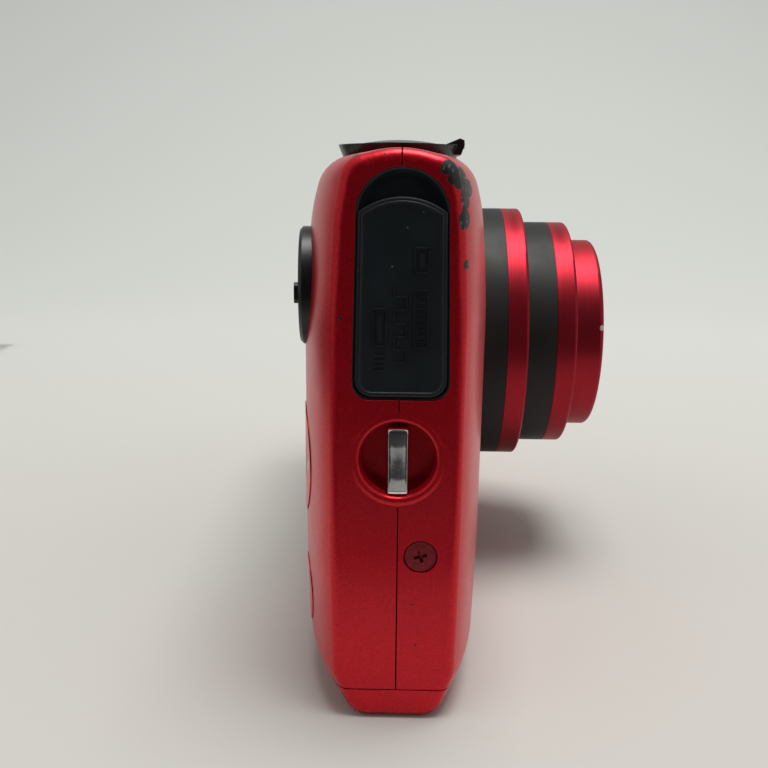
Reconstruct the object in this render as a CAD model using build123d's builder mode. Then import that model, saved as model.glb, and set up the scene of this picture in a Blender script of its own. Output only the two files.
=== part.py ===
from build123d import *
import math
import os

os.makedirs("parts", exist_ok=True)

# A slim zoom compact camera. The lens looks along -Y, the grip end is -X, +Z is up, and the
# origin is the mouth of the tripod socket in the middle of the bottom.

# ---------------------------------------------------------------- driving dimensions, mm
body_width = 87.2
body_height = 54.6
wall = 1.1                    # thickness of the pressed metal case
seam_gap = 0.12               # line between the two case halves, and above the bottom cover
cover_height = 3.1            # bottom cover, measured up from the table
grip_start = 24.0             # distance from the middle where the grip end starts to draw in
grip_power = 2.0              # exponent of the grip end's curve seen from above
far_start = 34.6              # the far end stays flat for longer, behind the screen
far_power = 2.35
end_squeeze = 0.395           # how much narrower the end facets are than the middle
end_drop = 0.2                # how much lower the top of an end facet is
facet_edge = 1.1              # rounding round the end facet

lens_x = 6.4
lens_z = 30.7
outer_radius = 17.45
middle_radius = 15.6
inner_radius = 13.15
barrel_wall = 1.3
outer_front = 16.2            # front rims, measured forward of the case seam
middle_front = 22.6
inner_front = 26.5
outer_trim_length = 2.7
middle_trim_length = 2.6
outer_length = 13.5
middle_length = 13.0
inner_length = 12.0
stage_gap = 0.15              # running gap between one stage and the lip of the next

clear = 0.15                  # gap round buttons and windows
fit_gap = 0.05                # radial gap of a pin in its hole

# ---------------------------------------------------------------- case outline
# Corners of the case outline seen from the end: height, front face y, rear face y, rounding.
case_corners = (
    (0.0, -5.8, 6.5, 3.6),
    (4.5, -8.45, 9.8, 6.0),
    (15.6, -8.85, 10.2, 60.0),
    (39.6, -9.05, 10.2, 60.0),
    (49.1, -8.4, 9.35, 20.0),
    (53.6, -7.1, 8.05, 3.9),
)
crown_y = 0.3
crown_rise = 0.3              # height of the crown's corner above the rounded top
crown_radius = 14.0
middle_y = 0.55               # middle of the case thickness
facet_y = 0.16                # middle of the end facet
rear_face = 10.2
front_face = -9.05
end_fraction = 0.97           # the shoulder curve stops just short of standing upright
station_fractions = (0.0, 0.25, 0.5, 0.7, 0.83, 0.92, end_fraction)


def shoulder(fraction, power):
    """Share of the full squeeze reached at this fraction of an end's length."""
    def curve(t):
        return 1 - (1 - t ** power) ** (1 / power)
    return curve(fraction) / curve(end_fraction)


def case_section(x, share, skin):
    """One closed cross-section of the case, square to X, drawn in by the given skin."""
    middle = middle_y + (facet_y - middle_y) * share
    squeeze = 1 - end_squeeze * share
    rise = (body_height - end_drop * share - 2 * skin) / body_height

    def place(y, z):
        half = (y - middle_y) * squeeze
        inward = math.copysign(skin, half)
        return (middle + half - inward, skin + z * rise)

    front = [place(front_y, z) for z, front_y, rear_y, rounding in case_corners]
    rear = [place(rear_y, z) for z, front_y, rear_y, rounding in case_corners]
    crown = (middle + (crown_y - middle_y) * squeeze, skin + (body_height + crown_rise) * rise)
    radii = [rounding * squeeze - skin for z, front_y, rear_y, rounding in case_corners]
    corner_radii = radii + [crown_radius * squeeze - skin] + radii[::-1]
    with BuildSketch(Plane.YZ.offset(x)) as section:
        with BuildLine():
            FilletPolyline(*front, crown, *rear[::-1], radius=corner_radii, close=True)
        make_face()
    return section.sketch


def case_block(skin):
    """The case as one solid block, drawn in by the given skin on every side."""
    with BuildPart() as block:
        for side, start, power in ((-1, grip_start, grip_power), (1, far_start, far_power)):
            length = body_width / 2 - start - skin
            sections = []
            for fraction in station_fractions:
                x = side * (start + length * fraction / end_fraction)
                sections.append(case_section(x, shoulder(fraction, power), skin))
            loft(sections)
        extrude(case_section(-grip_start, 0.0, skin), amount=grip_start + far_start)
    return block.part


def thumb_plane(x, z, lift=0.0):
    """Plane touching the rear face at x on the grip side, raised by lift; it looks back at the user."""
    length = (body_width / 2 - grip_start) / end_fraction
    fraction = max(0.0, (-x - grip_start) / length)
    step = 0.001
    squeeze = end_squeeze * shoulder(fraction, grip_power)
    squeeze_next = end_squeeze * shoulder(fraction + step, grip_power)
    y = rear_face - (rear_face - middle_y) * squeeze + (facet_y - middle_y) * squeeze / end_squeeze
    fall = (rear_face - middle_y) * (squeeze_next - squeeze) / (step * length)
    slope = math.atan(fall)
    normal = Vector(-math.sin(slope), math.cos(slope), 0)
    return Plane(origin=Vector(x, y, z) + normal * lift, x_dir=(-math.cos(slope), -math.sin(slope), 0),
                 z_dir=normal)


def mode_plane(lift):
    """Plane of the mode switch, raised by lift from where the case passes under its middle."""
    tilt = math.radians(mode_tilt)
    normal = Vector(-math.sin(tilt), math.cos(tilt), 0)
    middle = thumb_plane(mode_x, mode_z).origin
    return Plane(origin=middle + normal * lift, x_dir=(-math.cos(tilt), -math.sin(tilt), 0), z_dir=normal)


def save(piece, name):
    """Label one finished piece and write it as its own STEP file."""
    piece.part.label = name
    export_step(piece.part, "parts/" + name + ".step")


def facing_front(x, y, z):
    """Plane square to the lens axis, looking forward."""
    return Plane(origin=(x, y, z), x_dir=(1, 0, 0), z_dir=(0, -1, 0))


def facing_grip(x, y, z):
    """Plane of the end face, looking out of the grip end; its x runs to the front."""
    return Plane(origin=(x, y, z), x_dir=(0, -1, 0), z_dir=(-1, 0, 0))


def disc(plane, radius, depth, hole=0.0):
    """Round plate or ring standing on the plane."""
    with BuildPart() as made:
        with BuildSketch(plane):
            Circle(radius)
            if hole > 0:
                Circle(hole, mode=Mode.SUBTRACT)
        extrude(amount=depth)
    return made.part


def dome_middle(radius, rise, share):
    """Point part of the way across a shallow dome: radius there, and height above the dome's foot."""
    ball = (radius ** 2 + rise ** 2) / (2 * rise)
    return radius * share, rise - ball + math.sqrt(ball ** 2 - (radius * share) ** 2)


def block(x_range, y_range, z_range):
    """Rectangular block between two corners."""
    with BuildPart() as made:
        with Locations(((x_range[0] + x_range[1]) / 2,
                        (y_range[0] + y_range[1]) / 2,
                        (z_range[0] + z_range[1]) / 2)):
            Box(x_range[1] - x_range[0], y_range[1] - y_range[0], z_range[1] - z_range[0])
    return made.part


case_outer = case_block(0.0)
end_faces = case_outer.faces().sort_by(Axis.X)
case_outer = fillet(end_faces[0].edges() + end_faces[-1].edges(), facet_edge)
case_inner = case_block(wall)
case_shell = case_outer - case_inner

# ---------------------------------------------------------------- places of the outside features
facet_x = -body_width / 2

port_y = -0.12                # middle of the port door across the end face
port_bottom = 32.15
port_shoulder = 49.5          # where the arch of the recess begins
port_top = 52.85
port_half_bottom = 4.5
port_half_top = 4.1
door_bottom = 32.45
door_shoulder = 48.95
door_top = 50.3
door_half_bottom = 4.2
door_half_top = 3.93
door_proud = 0.12
door_thickness = 0.95
tray_floor_x = facet_x + 1.75
tray_back_x = facet_x + 2.2

strap_y = 0.05
strap_z = 26.5
strap_rim_radius = 4.3
strap_rim_depth = 0.8
strap_hole_radius = 3.45
strap_depth = 2.6
strap_cup_radius = 5.0
strap_slot_width = 2.2
strap_slot_height = 7.5
strap_bar_width = 1.93
strap_bar_height = 6.7
strap_bar_drop = 0.3          # the bar sits a little below the middle of its recess

screw_head_radius = 1.5
screw_shank_radius = 0.75
screw_recess = 0.12
screw_length = 3.4
side_screw_y = -2.2
side_screw_z = 17.0
far_screw_z = 40.6
screw_cross = (1.25, 0.32)

lever_x = -27.5
lever_y = 0.3
lever_radius = 6.3
lever_hub_radius = 4.95
lever_seat = 53.75            # floor of the round recess under the lever
shutter_radius = 4.05
power_x = -12.0
power_radius = 2.3

mode_x = -32.2
mode_z = 41.3
mode_radius = 5.9
mode_tilt = 3.2               # the mode switch follows only half of the case's slope there
mode_proud = 0.36
pad_x = -32.5
pad_z = 23.6
pad_radius = 5.6
pad_hole = 2.35
set_radius = 2.1
low_button_radius = 3.5
low_button_z = 9.6
menu_x = -34.0
playback_x = -24.0

screen_x = (-17.5, 37.0)
screen_z = (7.6, 46.6)
screen_face = rear_face + 0.06
flash_x = (27.5, 38.0)
flash_z = (44.2, 50.2)
lamp_x = -13.5
lamp_z = 47.1
lamp_radius = 1.8
bezel_radius = 20.3
bezel_inner = 17.7

hatch_x = (-38.0, -13.0)      # battery door
hatch_hinge_y = -4.1
hatch_edge_y = 5.0
hatch_thickness = 1.9
hatch_hinge_z = 0.97
hatch_pin_radius = 0.45

speaker_z = 45.1
microphone_x = 24.8

socket_radius = 2.6           # 1/4 inch tripod thread
socket_depth = 5.5
socket_body_radius = 4.2


def arched_slot(y_middle, bottom, shoulder_z, top, half_bottom, half_top, corner, x, margin=0.0):
    """Outline with a straight foot, slightly leaning sides and an arched top, in an end plane."""
    foot = bottom - margin
    head = top + margin
    low = half_bottom + margin
    high = half_top + margin
    with BuildSketch(Plane.YZ.offset(x)) as outline:
        with BuildLine():
            Line((y_middle - high, shoulder_z), (y_middle - low, foot))
            Line((y_middle - low, foot), (y_middle + low, foot))
            Line((y_middle + low, foot), (y_middle + high, shoulder_z))
            ThreePointArc((y_middle + high, shoulder_z), (y_middle, head), (y_middle - high, shoulder_z))
        make_face()
        fillet(outline.vertices().sort_by(Axis.Y)[:2], corner)
        fillet(outline.vertices().sort_by(Axis.Y)[-2:], corner / 2)
    return outline.sketch


def port_opening(x, margin=0.0):
    """Outline of the port recess in the end face."""
    return arched_slot(port_y, port_bottom, port_shoulder, port_top,
                       port_half_bottom, port_half_top, 1.6, x, margin)


def door_outline(x, margin=0.0):
    """Outline of the rubber port door."""
    return arched_slot(port_y, door_bottom, door_shoulder, door_top,
                       door_half_bottom, door_half_top, 1.6, x, margin)


# ---------------------------------------------------------------- case halves and bottom cover
strap_floor = facing_grip(facet_x + strap_depth + 1.0, strap_y, strap_z)
strap_cup = disc(strap_floor, strap_cup_radius, strap_depth + 0.6)
strap_cup = strap_cup & case_outer
side_boss = disc(facing_grip(facet_x + 4.2, side_screw_y, side_screw_z), 2.2, 3.6) & case_outer
far_bosses = [
    disc(Plane(origin=(-facet_x - 4.2, side_screw_y, z), z_dir=(1, 0, 0)), 2.2, 3.6) & case_outer
    for z in (side_screw_z, far_screw_z)
]
walled_case = case_shell + strap_cup + side_boss + far_bosses[0] + far_bosses[1]

# the strap recess: a dished rim, a round well, and the upright slot that takes the bar's ends
strap_well = disc(facing_grip(facet_x + strap_depth, strap_y, strap_z), strap_hole_radius, strap_depth + 1)
with BuildPart() as strap_dish:
    with BuildSketch(facing_grip(facet_x + strap_rim_depth, strap_y, strap_z)):
        Circle(strap_hole_radius)
    with BuildSketch(facing_grip(facet_x - 0.2, strap_y, strap_z)):
        Circle(strap_rim_radius)
    loft()
strap_slot = block((facet_x + 0.4, facet_x + 1.75),
                   (strap_y - strap_slot_width / 2, strap_y + strap_slot_width / 2),
                   (strap_z - strap_slot_height / 2, strap_z + strap_slot_height / 2))

# openings
with BuildPart() as port_cut:
    extrude(port_opening(facet_x - 1), amount=1 + wall + 1.4)
with BuildPart() as screw_holes:
    for plane in (facing_grip(facet_x - 1, side_screw_y, side_screw_z),
                  Plane(origin=(-facet_x + 1, side_screw_y, side_screw_z), z_dir=(1, 0, 0)),
                  Plane(origin=(-facet_x + 1, side_screw_y, far_screw_z), z_dir=(1, 0, 0))):
        with BuildSketch(plane):
            Circle(screw_head_radius + 0.12)
        extrude(amount=-(1 + screw_recess + 0.75))
        with BuildSketch(plane):
            Circle(screw_shank_radius + 0.05)
        extrude(amount=-8)
with BuildPart() as top_holes:
    with BuildSketch(Plane.XY.offset(50.6)):
        with Locations((lever_x, lever_y)):
            Circle(lever_hub_radius + clear)
        with Locations((power_x, lever_y)):
            Circle(power_radius + clear)
        with Locations((microphone_x - 0.8, 2.6), (microphone_x + 0.8, 2.6)):
            Circle(0.4)
    extrude(amount=6)
    with BuildSketch(Plane.XY.offset(lever_seat)):
        with Locations((lever_x, lever_y)):
            Circle(lever_radius + clear)
    extrude(amount=3)
with BuildPart() as front_holes:
    with BuildSketch(facing_front(lens_x, -5, lens_z)):
        Circle(bezel_radius + 0.05)
    extrude(amount=7)
    with BuildSketch(Plane.XZ.offset(5)):
        with Locations(((flash_x[0] + flash_x[1]) / 2, (flash_z[0] + flash_z[1]) / 2)):
            RectangleRounded(flash_x[1] - flash_x[0], flash_z[1] - flash_z[0], 1.2)
        with Locations((lamp_x, lamp_z)):
            Circle(lamp_radius + 0.05)
    extrude(amount=7)
with BuildPart() as rear_holes:
    with BuildSketch(Plane.XZ.offset(-5)):
        with Locations(((screen_x[0] + screen_x[1]) / 2, (screen_z[0] + screen_z[1]) / 2)):
            RectangleRounded(screen_x[1] - screen_x[0] + 0.1, screen_z[1] - screen_z[0] + 0.1, 1.5)
    extrude(amount=-7)
    with BuildSketch(mode_plane(-2.6)):
        Circle(mode_radius + clear)
    extrude(amount=5)
    for x, z, radius in ((pad_x, pad_z, pad_radius + 0.05), (menu_x, low_button_z, low_button_radius),
                         (playback_x, low_button_z, low_button_radius)):
        with BuildSketch(thumb_plane(x, z, -2.6)):
            Circle(radius + clear)
        extrude(amount=5)
with BuildPart() as speaker_holes:
    with BuildSketch(Plane.YZ.offset(40)):
        with Locations((2.6, speaker_z)):
            with GridLocations(1.3, 1.3, 3, 3):
                Circle(0.35)
    extrude(amount=6)

cut_case = walled_case - strap_well - strap_dish.part - strap_slot - port_cut.part - screw_holes.part
cut_case = cut_case - top_holes.part - front_holes.part - rear_holes.part - speaker_holes.part

reach = body_width
with BuildPart() as front_shell:
    add(cut_case)
    with Locations((0, -reach / 2 - seam_gap / 2, reach / 2 + cover_height + seam_gap / 2)):
        Box(2 * reach, reach, reach, mode=Mode.INTERSECT)
save(front_shell, "front_shell")

with BuildPart() as rear_shell:
    add(cut_case)
    with Locations((0, reach / 2 + seam_gap / 2, reach / 2 + cover_height + seam_gap / 2)):
        Box(2 * reach, reach, reach, mode=Mode.INTERSECT)
save(rear_shell, "rear_shell")

cover_screws_x = (-41.0, 40.6)
with BuildPart() as bottom_cover:
    add(case_shell)
    with Locations((0, 0, (cover_height - seam_gap / 2) / 2)):
        Box(2 * reach, reach, cover_height - seam_gap / 2, mode=Mode.INTERSECT)
    add(block((hatch_x[0] - 1.6, hatch_x[0] - 0.15), (-5.1, -3.1), (0.6, 2.1)) & case_outer)
    add(block((hatch_x[1] + 0.15, hatch_x[1] + 1.6), (-5.1, -3.1), (0.6, 2.1)) & case_outer)
    add(block((hatch_x[0] - 0.15, hatch_x[1] + 0.15), (hatch_hinge_y - 1.1, hatch_edge_y + 0.15), (-1, 3)),
        mode=Mode.SUBTRACT)
    with BuildSketch(Plane.YZ.offset(hatch_x[0] - 1.45)):
        with Locations((hatch_hinge_y, hatch_hinge_z)):
            Circle(hatch_pin_radius)
    extrude(amount=hatch_x[1] - hatch_x[0] + 2.9, mode=Mode.SUBTRACT)
    with BuildSketch(Plane.XY.offset(-1)):
        Circle(socket_body_radius + fit_gap)
        with Locations(*[(x, 0.1) for x in cover_screws_x]):
            Circle(screw_shank_radius + 0.05)
    extrude(amount=4, mode=Mode.SUBTRACT)
    with BuildSketch(Plane.XY.offset(-1)):
        with Locations(*[(x, 0.1) for x in cover_screws_x]):
            Circle(screw_head_radius + 0.1)
    extrude(amount=1.8, mode=Mode.SUBTRACT)
save(bottom_cover, "bottom_cover")

# ---------------------------------------------------------------- end face: door, tray, sockets, bar
with BuildPart() as port_tray:
    extrude(port_opening(facet_x + 0.18, -0.05), amount=tray_back_x - facet_x - 0.18)
    extrude(door_outline(facet_x, 0.1), amount=tray_floor_x - facet_x, mode=Mode.SUBTRACT)
    with BuildSketch(Plane.YZ.offset(facet_x)):
        with Locations((port_y, port_shoulder + 0.15)):
            Circle(2.75)
        with Locations((port_y, door_shoulder - 2)):
            Rectangle(5.5, 5)
    extrude(amount=tray_floor_x - facet_x, mode=Mode.SUBTRACT)
hdmi_y = -1.95
av_y = 1.85
hdmi_z = 41.8
av_z = 42.2
hdmi_size = (3.2, 11.2)
av_size = (3.6, 8.0)
with BuildPart() as socket_cuts:
    with BuildSketch(Plane.YZ.offset(facet_x)):
        with Locations((hdmi_y, hdmi_z)):
            Rectangle(hdmi_size[0] + 0.1, hdmi_size[1] + 0.1)
        with Locations((av_y, av_z)):
            Rectangle(av_size[0] + 0.1, av_size[1] + 0.1)
    extrude(amount=6)
port_tray.part = port_tray.part - socket_cuts.part
save(port_tray, "port_tray")

for name, y, z, size, mouth, tongue in (
        ("hdmi_socket", hdmi_y, hdmi_z, hdmi_size, (2.42, 10.42), (0.6, 8.0)),
        ("av_socket", av_y, av_z, av_size, (3.0, 6.9), (0.8, 4.6))):
    with BuildPart() as socket:
        with BuildSketch(Plane.YZ.offset(tray_floor_x - 0.25)):
            with Locations((y, z)):
                Rectangle(*size)
        extrude(amount=5.1)
        with BuildSketch(Plane.YZ.offset(tray_floor_x - 0.25)):
            with Locations((y, z)):
                RectangleRounded(mouth[0], mouth[1], 0.4)
        extrude(amount=4.6, mode=Mode.SUBTRACT)
        with BuildSketch(Plane.YZ.offset(tray_floor_x + 0.9)):
            with Locations((y, z)):
                Rectangle(*tongue)
        extrude(amount=3.5)
    save(socket, name)

with BuildPart() as port_door:
    extrude(door_outline(facet_x), amount=door_thickness)
    extrude(door_outline(facet_x - door_proud, -0.2), amount=door_proud)
save(port_door, "port_door")

with BuildPart() as strap_bar:
    half = strap_bar_height / 2
    bar_z = strap_z - strap_bar_drop
    with BuildSketch(Plane.XZ.offset(-(strap_y - strap_bar_width / 2))):
        with BuildLine():
            Polyline(
                (facet_x + 1.65, bar_z - half),
                (facet_x + 0.5, bar_z - half),
                (facet_x + 0.1, bar_z - half + 0.7),
                (facet_x + 0.1, bar_z + half - 0.7),
                (facet_x + 0.5, bar_z + half),
                (facet_x + 1.65, bar_z + half),
                (facet_x + 1.65, bar_z + half - 0.75),
                (facet_x + 0.85, bar_z + half - 1.1),
                (facet_x + 0.85, bar_z - half + 1.1),
                (facet_x + 1.65, bar_z - half + 0.75),
                close=True,
            )
        make_face()
    extrude(amount=-strap_bar_width)
    fillet(strap_bar.edges().filter_by(Axis.Y).sort_by(Axis.X)[:4], 0.3)
save(strap_bar, "strap_bar")

with BuildPart() as case_screws:
    head_planes = [
        facing_grip(facet_x + screw_recess, side_screw_y, side_screw_z),
        Plane(origin=(-facet_x - screw_recess, side_screw_y, side_screw_z), z_dir=(1, 0, 0)),
        Plane(origin=(-facet_x - screw_recess, side_screw_y, far_screw_z), z_dir=(1, 0, 0)),
    ]
    for x in cover_screws_x:
        head_planes.append(Plane(origin=(x, 0.1, 0.1), x_dir=(1, 0, 0), z_dir=(0, 0, -1)))
    for plane in head_planes:
        with BuildSketch(plane):
            Circle(screw_head_radius)
        extrude(amount=-0.65)
        with BuildSketch(plane):
            Circle(screw_shank_radius)
        extrude(amount=-screw_length)
        with BuildSketch(plane):
            for turn in (15, 105):
                Rectangle(*screw_cross, rotation=turn)
        extrude(amount=-0.42, mode=Mode.SUBTRACT)
save(case_screws, "case_screws")

# ---------------------------------------------------------------- top: zoom lever, shutter, power button
lever_top = 55.2
with BuildPart() as zoom_lever:
    with BuildSketch(Plane.XY.offset(lever_top)):
        with Locations((lever_x, lever_y)):
            Circle(lever_radius)
    extrude(amount=-(lever_top - lever_seat - clear), taper=22)
    with BuildSketch(Plane.XY.offset(52.5)):
        with Locations((lever_x, lever_y)):
            Circle(lever_hub_radius)
    extrude(amount=2.0)
    with BuildSketch(Plane.YZ.offset(lever_x - 2.6)):
        with BuildLine():
            Polyline(
                (lever_y - lever_radius + 1.2, lever_top - 0.9),
                (lever_y - lever_radius + 0.15, lever_top - 0.95),
                (lever_y - lever_radius - 0.2, lever_top + 0.05),
                (lever_y - lever_radius - 0.1, lever_top + 0.5),
                (lever_y - lever_radius + 0.3, lever_top + 0.65),
                (lever_y - lever_radius + 1.9, lever_top - 0.02),
                close=True,
            )
        make_face()
    extrude(amount=5.2)
    with BuildSketch(Plane.XY.offset(51)):
        with Locations((lever_x, lever_y)):
            Circle(shutter_radius + clear)
    extrude(amount=5, mode=Mode.SUBTRACT)
save(zoom_lever, "zoom_lever")

shutter_foot = 55.35
shutter_rise = 0.4
shutter_mid, shutter_lift = dome_middle(shutter_radius, shutter_rise, 0.5)
with BuildPart() as shutter_button:
    with BuildSketch(Plane.XZ.offset(-lever_y)):
        with BuildLine():
            Polyline((lever_x, shutter_foot + shutter_rise), (lever_x, 52.3), (lever_x + 1.2, 52.3),
                     (lever_x + 1.2, 54.0), (lever_x + shutter_radius, 54.0),
                     (lever_x + shutter_radius, shutter_foot))
            ThreePointArc((lever_x + shutter_radius, shutter_foot),
                          (lever_x + shutter_mid, shutter_foot + shutter_lift),
                          (lever_x, shutter_foot + shutter_rise))
        make_face()
    revolve(axis=Axis((lever_x, lever_y, 0), (0, 0, 1)))
save(shutter_button, "shutter_button")

with BuildPart() as power_button:
    with BuildSketch(Plane.XY.offset(52.8)):
        with Locations((power_x, lever_y)):
            Circle(power_radius)
    extrude(amount=2.0)
    chamfer(power_button.edges().group_by(Axis.Z)[-1], 0.25)
    with BuildSketch(Plane.XY.offset(52.1)):
        with Locations((power_x, lever_y)):
            Circle(1.0)
    extrude(amount=0.8)
save(power_button, "power_button")

# ---------------------------------------------------------------- rear: mode switch, pad, buttons, screen
button_proud = 0.1
stem_end = 7.5                # how far in the rear buttons' stems reach
with BuildPart() as mode_switch:
    with BuildSketch(mode_plane(-1.3)):
        Circle(mode_radius)
    extrude(amount=1.3 + mode_proud)
    chamfer(mode_switch.faces().sort_by(Axis.Y)[-1].edges(), 0.3)
    with BuildSketch(mode_plane(-2.3)):
        Circle(1.6)
    extrude(amount=1.1)
    with BuildSketch(mode_plane(mode_proud - 0.05)):
        with Locations((mode_radius - 1.9, -0.3)):
            RectangleRounded(1.5, 2.0, 0.6)
    extrude(amount=0.5)
save(mode_switch, "mode_switch")

proud_case = case_outer.moved(Location((0, button_proud, 0)))
with BuildPart() as control_pad:
    with BuildSketch(thumb_plane(pad_x, pad_z, -1.2)):
        Circle(pad_radius)
        Circle(pad_hole, mode=Mode.SUBTRACT)
    extrude(amount=4)
    add(proud_case, mode=Mode.INTERSECT)
save(control_pad, "control_pad")

with BuildPart() as pad_gimbal:
    with BuildSketch(thumb_plane(pad_x, pad_z, -2.0)):
        Circle(pad_radius - 0.7)
        Circle(pad_hole + 0.7, mode=Mode.SUBTRACT)
    extrude(amount=0.5)
save(pad_gimbal, "pad_gimbal")


def push_button(name, x, z, radius):
    """Round rear button that follows the case's curve, with a thin stem behind it."""
    seat = thumb_plane(x, z, -1.9)
    with BuildPart() as button:
        with BuildSketch(seat):
            Circle(radius)
        extrude(amount=4)
        add(proud_case, mode=Mode.INTERSECT)
        with BuildSketch(seat):
            Circle(0.9)
        extrude(amount=stem_end - seat.origin.Y)
    save(button, name)


push_button("set_button", pad_x, pad_z, set_radius)
push_button("menu_button", menu_x, low_button_z, low_button_radius)
push_button("playback_button", playback_x, low_button_z, low_button_radius)

screen_mid = ((screen_x[0] + screen_x[1]) / 2, (screen_z[0] + screen_z[1]) / 2)
with BuildPart() as screen_window:
    with BuildSketch(Plane.XZ.offset(-(screen_face - 0.94))):
        with Locations(screen_mid):
            RectangleRounded(screen_x[1] - screen_x[0], screen_z[1] - screen_z[0], 1.45)
    extrude(amount=-0.94)
    chamfer(screen_window.edges().group_by(Axis.Y)[-1], 0.15)
save(screen_window, "screen_window")

with BuildPart() as display_panel:
    with BuildSketch(Plane.XZ.offset(-7.7)):
        with Locations(screen_mid):
            Rectangle(52, 37)
    extrude(amount=-1.4)
save(display_panel, "display_panel")

# ---------------------------------------------------------------- front: bezel, flash window, focus lamp
with BuildPart() as lens_bezel:
    with BuildSketch(facing_front(lens_x, front_face + wall, lens_z)):
        Circle(bezel_radius)
        Circle(bezel_inner, mode=Mode.SUBTRACT)
    extrude(amount=wall + 0.45)
    chamfer(lens_bezel.edges().group_by(Axis.Y)[0], 0.2)
save(lens_bezel, "lens_bezel")

with BuildPart() as flash_window:
    with BuildSketch(Plane.XZ.offset(7.4)):
        with Locations(((flash_x[0] + flash_x[1]) / 2, (flash_z[0] + flash_z[1]) / 2)):
            RectangleRounded(flash_x[1] - flash_x[0] - 0.1, flash_z[1] - flash_z[0] - 0.1, 1.15)
    extrude(amount=1.25)
save(flash_window, "flash_window")

with BuildPart() as focus_lamp:
    with BuildSketch(facing_front(lamp_x, -6.95, lamp_z)):
        Circle(lamp_radius)
    extrude(amount=1.75)
    chamfer(focus_lamp.edges().group_by(Axis.Y)[0], 0.2)
save(focus_lamp, "focus_lamp")

# ---------------------------------------------------------------- lens barrels


def trimmed_barrel(barrel_name, trim_name, radius, front, length, trim_length, lip_radius):
    """One zoom stage: a black sleeve with a red ring glued over its front spigot."""
    spigot_radius = radius - 0.6
    lip = 0.7
    with BuildPart() as barrel:
        with BuildSketch(facing_front(lens_x, length - front, lens_z)):
            Circle(radius)
            Circle(radius - barrel_wall, mode=Mode.SUBTRACT)
        extrude(amount=length - trim_length)
        with BuildSketch(facing_front(lens_x, trim_length - front, lens_z)):
            Circle(spigot_radius)
            Circle(radius - barrel_wall, mode=Mode.SUBTRACT)
        extrude(amount=trim_length - lip - 0.02)
    save(barrel, barrel_name)
    with BuildPart() as trim:
        with BuildSketch(facing_front(lens_x, trim_length - front - 0.03, lens_z)):
            Circle(radius)
            Circle(spigot_radius + 0.02, mode=Mode.SUBTRACT)
        extrude(amount=trim_length - lip - 0.03)
        with BuildSketch(facing_front(lens_x, lip - front, lens_z)):
            Circle(radius)
            Circle(lip_radius, mode=Mode.SUBTRACT)
        extrude(amount=lip)
        fillet(trim.faces().sort_by(Axis.Y)[0].edges().sort_by(SortBy.RADIUS)[-1], 0.35)
    save(trim, trim_name)


trimmed_barrel("outer_barrel", "outer_trim_ring", outer_radius, outer_front, outer_length,
               outer_trim_length, middle_radius + stage_gap)
trimmed_barrel("middle_barrel", "middle_trim_ring", middle_radius, middle_front, middle_length,
               middle_trim_length, inner_radius + stage_gap)

glass_hole = 5.55
inner_bore = inner_radius - 1.0
with BuildPart() as inner_barrel:
    with BuildSketch(facing_front(lens_x, inner_length - inner_front, lens_z)):
        Circle(inner_radius)
        Circle(inner_bore, mode=Mode.SUBTRACT)
    extrude(amount=inner_length)
    rim = inner_barrel.faces().sort_by(Axis.Y)[0].edges().sort_by(SortBy.RADIUS)
    fillet(rim[-1], 0.6)
    fillet(inner_barrel.faces().sort_by(Axis.Y)[0].edges().sort_by(SortBy.RADIUS)[0], 0.3)
save(inner_barrel, "inner_barrel")

with BuildPart() as front_ring:
    with BuildSketch(Plane(origin=(lens_x, 0, lens_z), x_dir=(0, -1, 0), z_dir=(0, 0, 1))):
        with BuildLine():
            Polyline((inner_front - 0.65, inner_bore - 0.03), (inner_front - 1.1, inner_bore - 0.03),
                     (inner_front - 1.45, glass_hole + 0.4), (inner_front - 1.45, glass_hole),
                     (inner_front - 1.15, glass_hole), close=True)
        make_face()
    revolve(axis=Axis((lens_x, 0, lens_z), (0, -1, 0)))
save(front_ring, "front_ring")

# barrier blades: half discs on side pivots, swung open by the angle below
blade_pivot = 10.2
blade_radius = 5.95
blade_open = 35.0
blade_y = -(inner_front - 1.75)
for name, sign in (("upper_blade", 1), ("lower_blade", -1)):
    pivot = (lens_x + sign * blade_pivot, lens_z)
    with BuildPart() as blade:
        with BuildSketch(facing_front(0, blade_y + 0.25, 0)):
            with Locations((lens_x, lens_z)):
                Circle(blade_radius)
                with Locations((0, -sign * (blade_radius - 0.03))):
                    Rectangle(2 * blade_radius, 2 * blade_radius, mode=Mode.SUBTRACT)
            with Locations((pivot[0] - sign * 2.6, pivot[1] + sign * 1.03)):
                Rectangle(5.2, 2.0)
            with Locations(pivot):
                Circle(1.2)
        extrude(amount=0.25)
    swing = Axis((pivot[0], 0, pivot[1]), (0, 1, 0))
    blade.part = blade.part.rotate(swing, blade_open)
    save(blade, name)

lens_dome_radius = 6.8
lens_dome_rise = 0.6
lens_mid, lens_lift = dome_middle(lens_dome_radius, lens_dome_rise, 0.5)
with BuildPart() as front_lens:
    with BuildSketch(Plane(origin=(lens_x, 0, lens_z), x_dir=(0, -1, 0), z_dir=(0, 0, 1))):
        with BuildLine():
            Polyline((inner_front - 6.2, 0), (inner_front - 6.2, inner_bore - 0.05),
                     (inner_front - 2.6, inner_bore - 0.05), (inner_front - 2.6, 7.6),
                     (inner_front - 2.35, 7.2), (inner_front - 2.6, 6.8))
            ThreePointArc((inner_front - 2.6, lens_dome_radius), (inner_front - 2.6 + lens_lift, lens_mid),
                          (inner_front - 2.6 + lens_dome_rise, 0))
            Line((inner_front - 2.0, 0), (inner_front - 6.2, 0))
        make_face()
    revolve(axis=Axis((lens_x, 0, lens_z), (0, -1, 0)))
save(front_lens, "front_lens")

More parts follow.
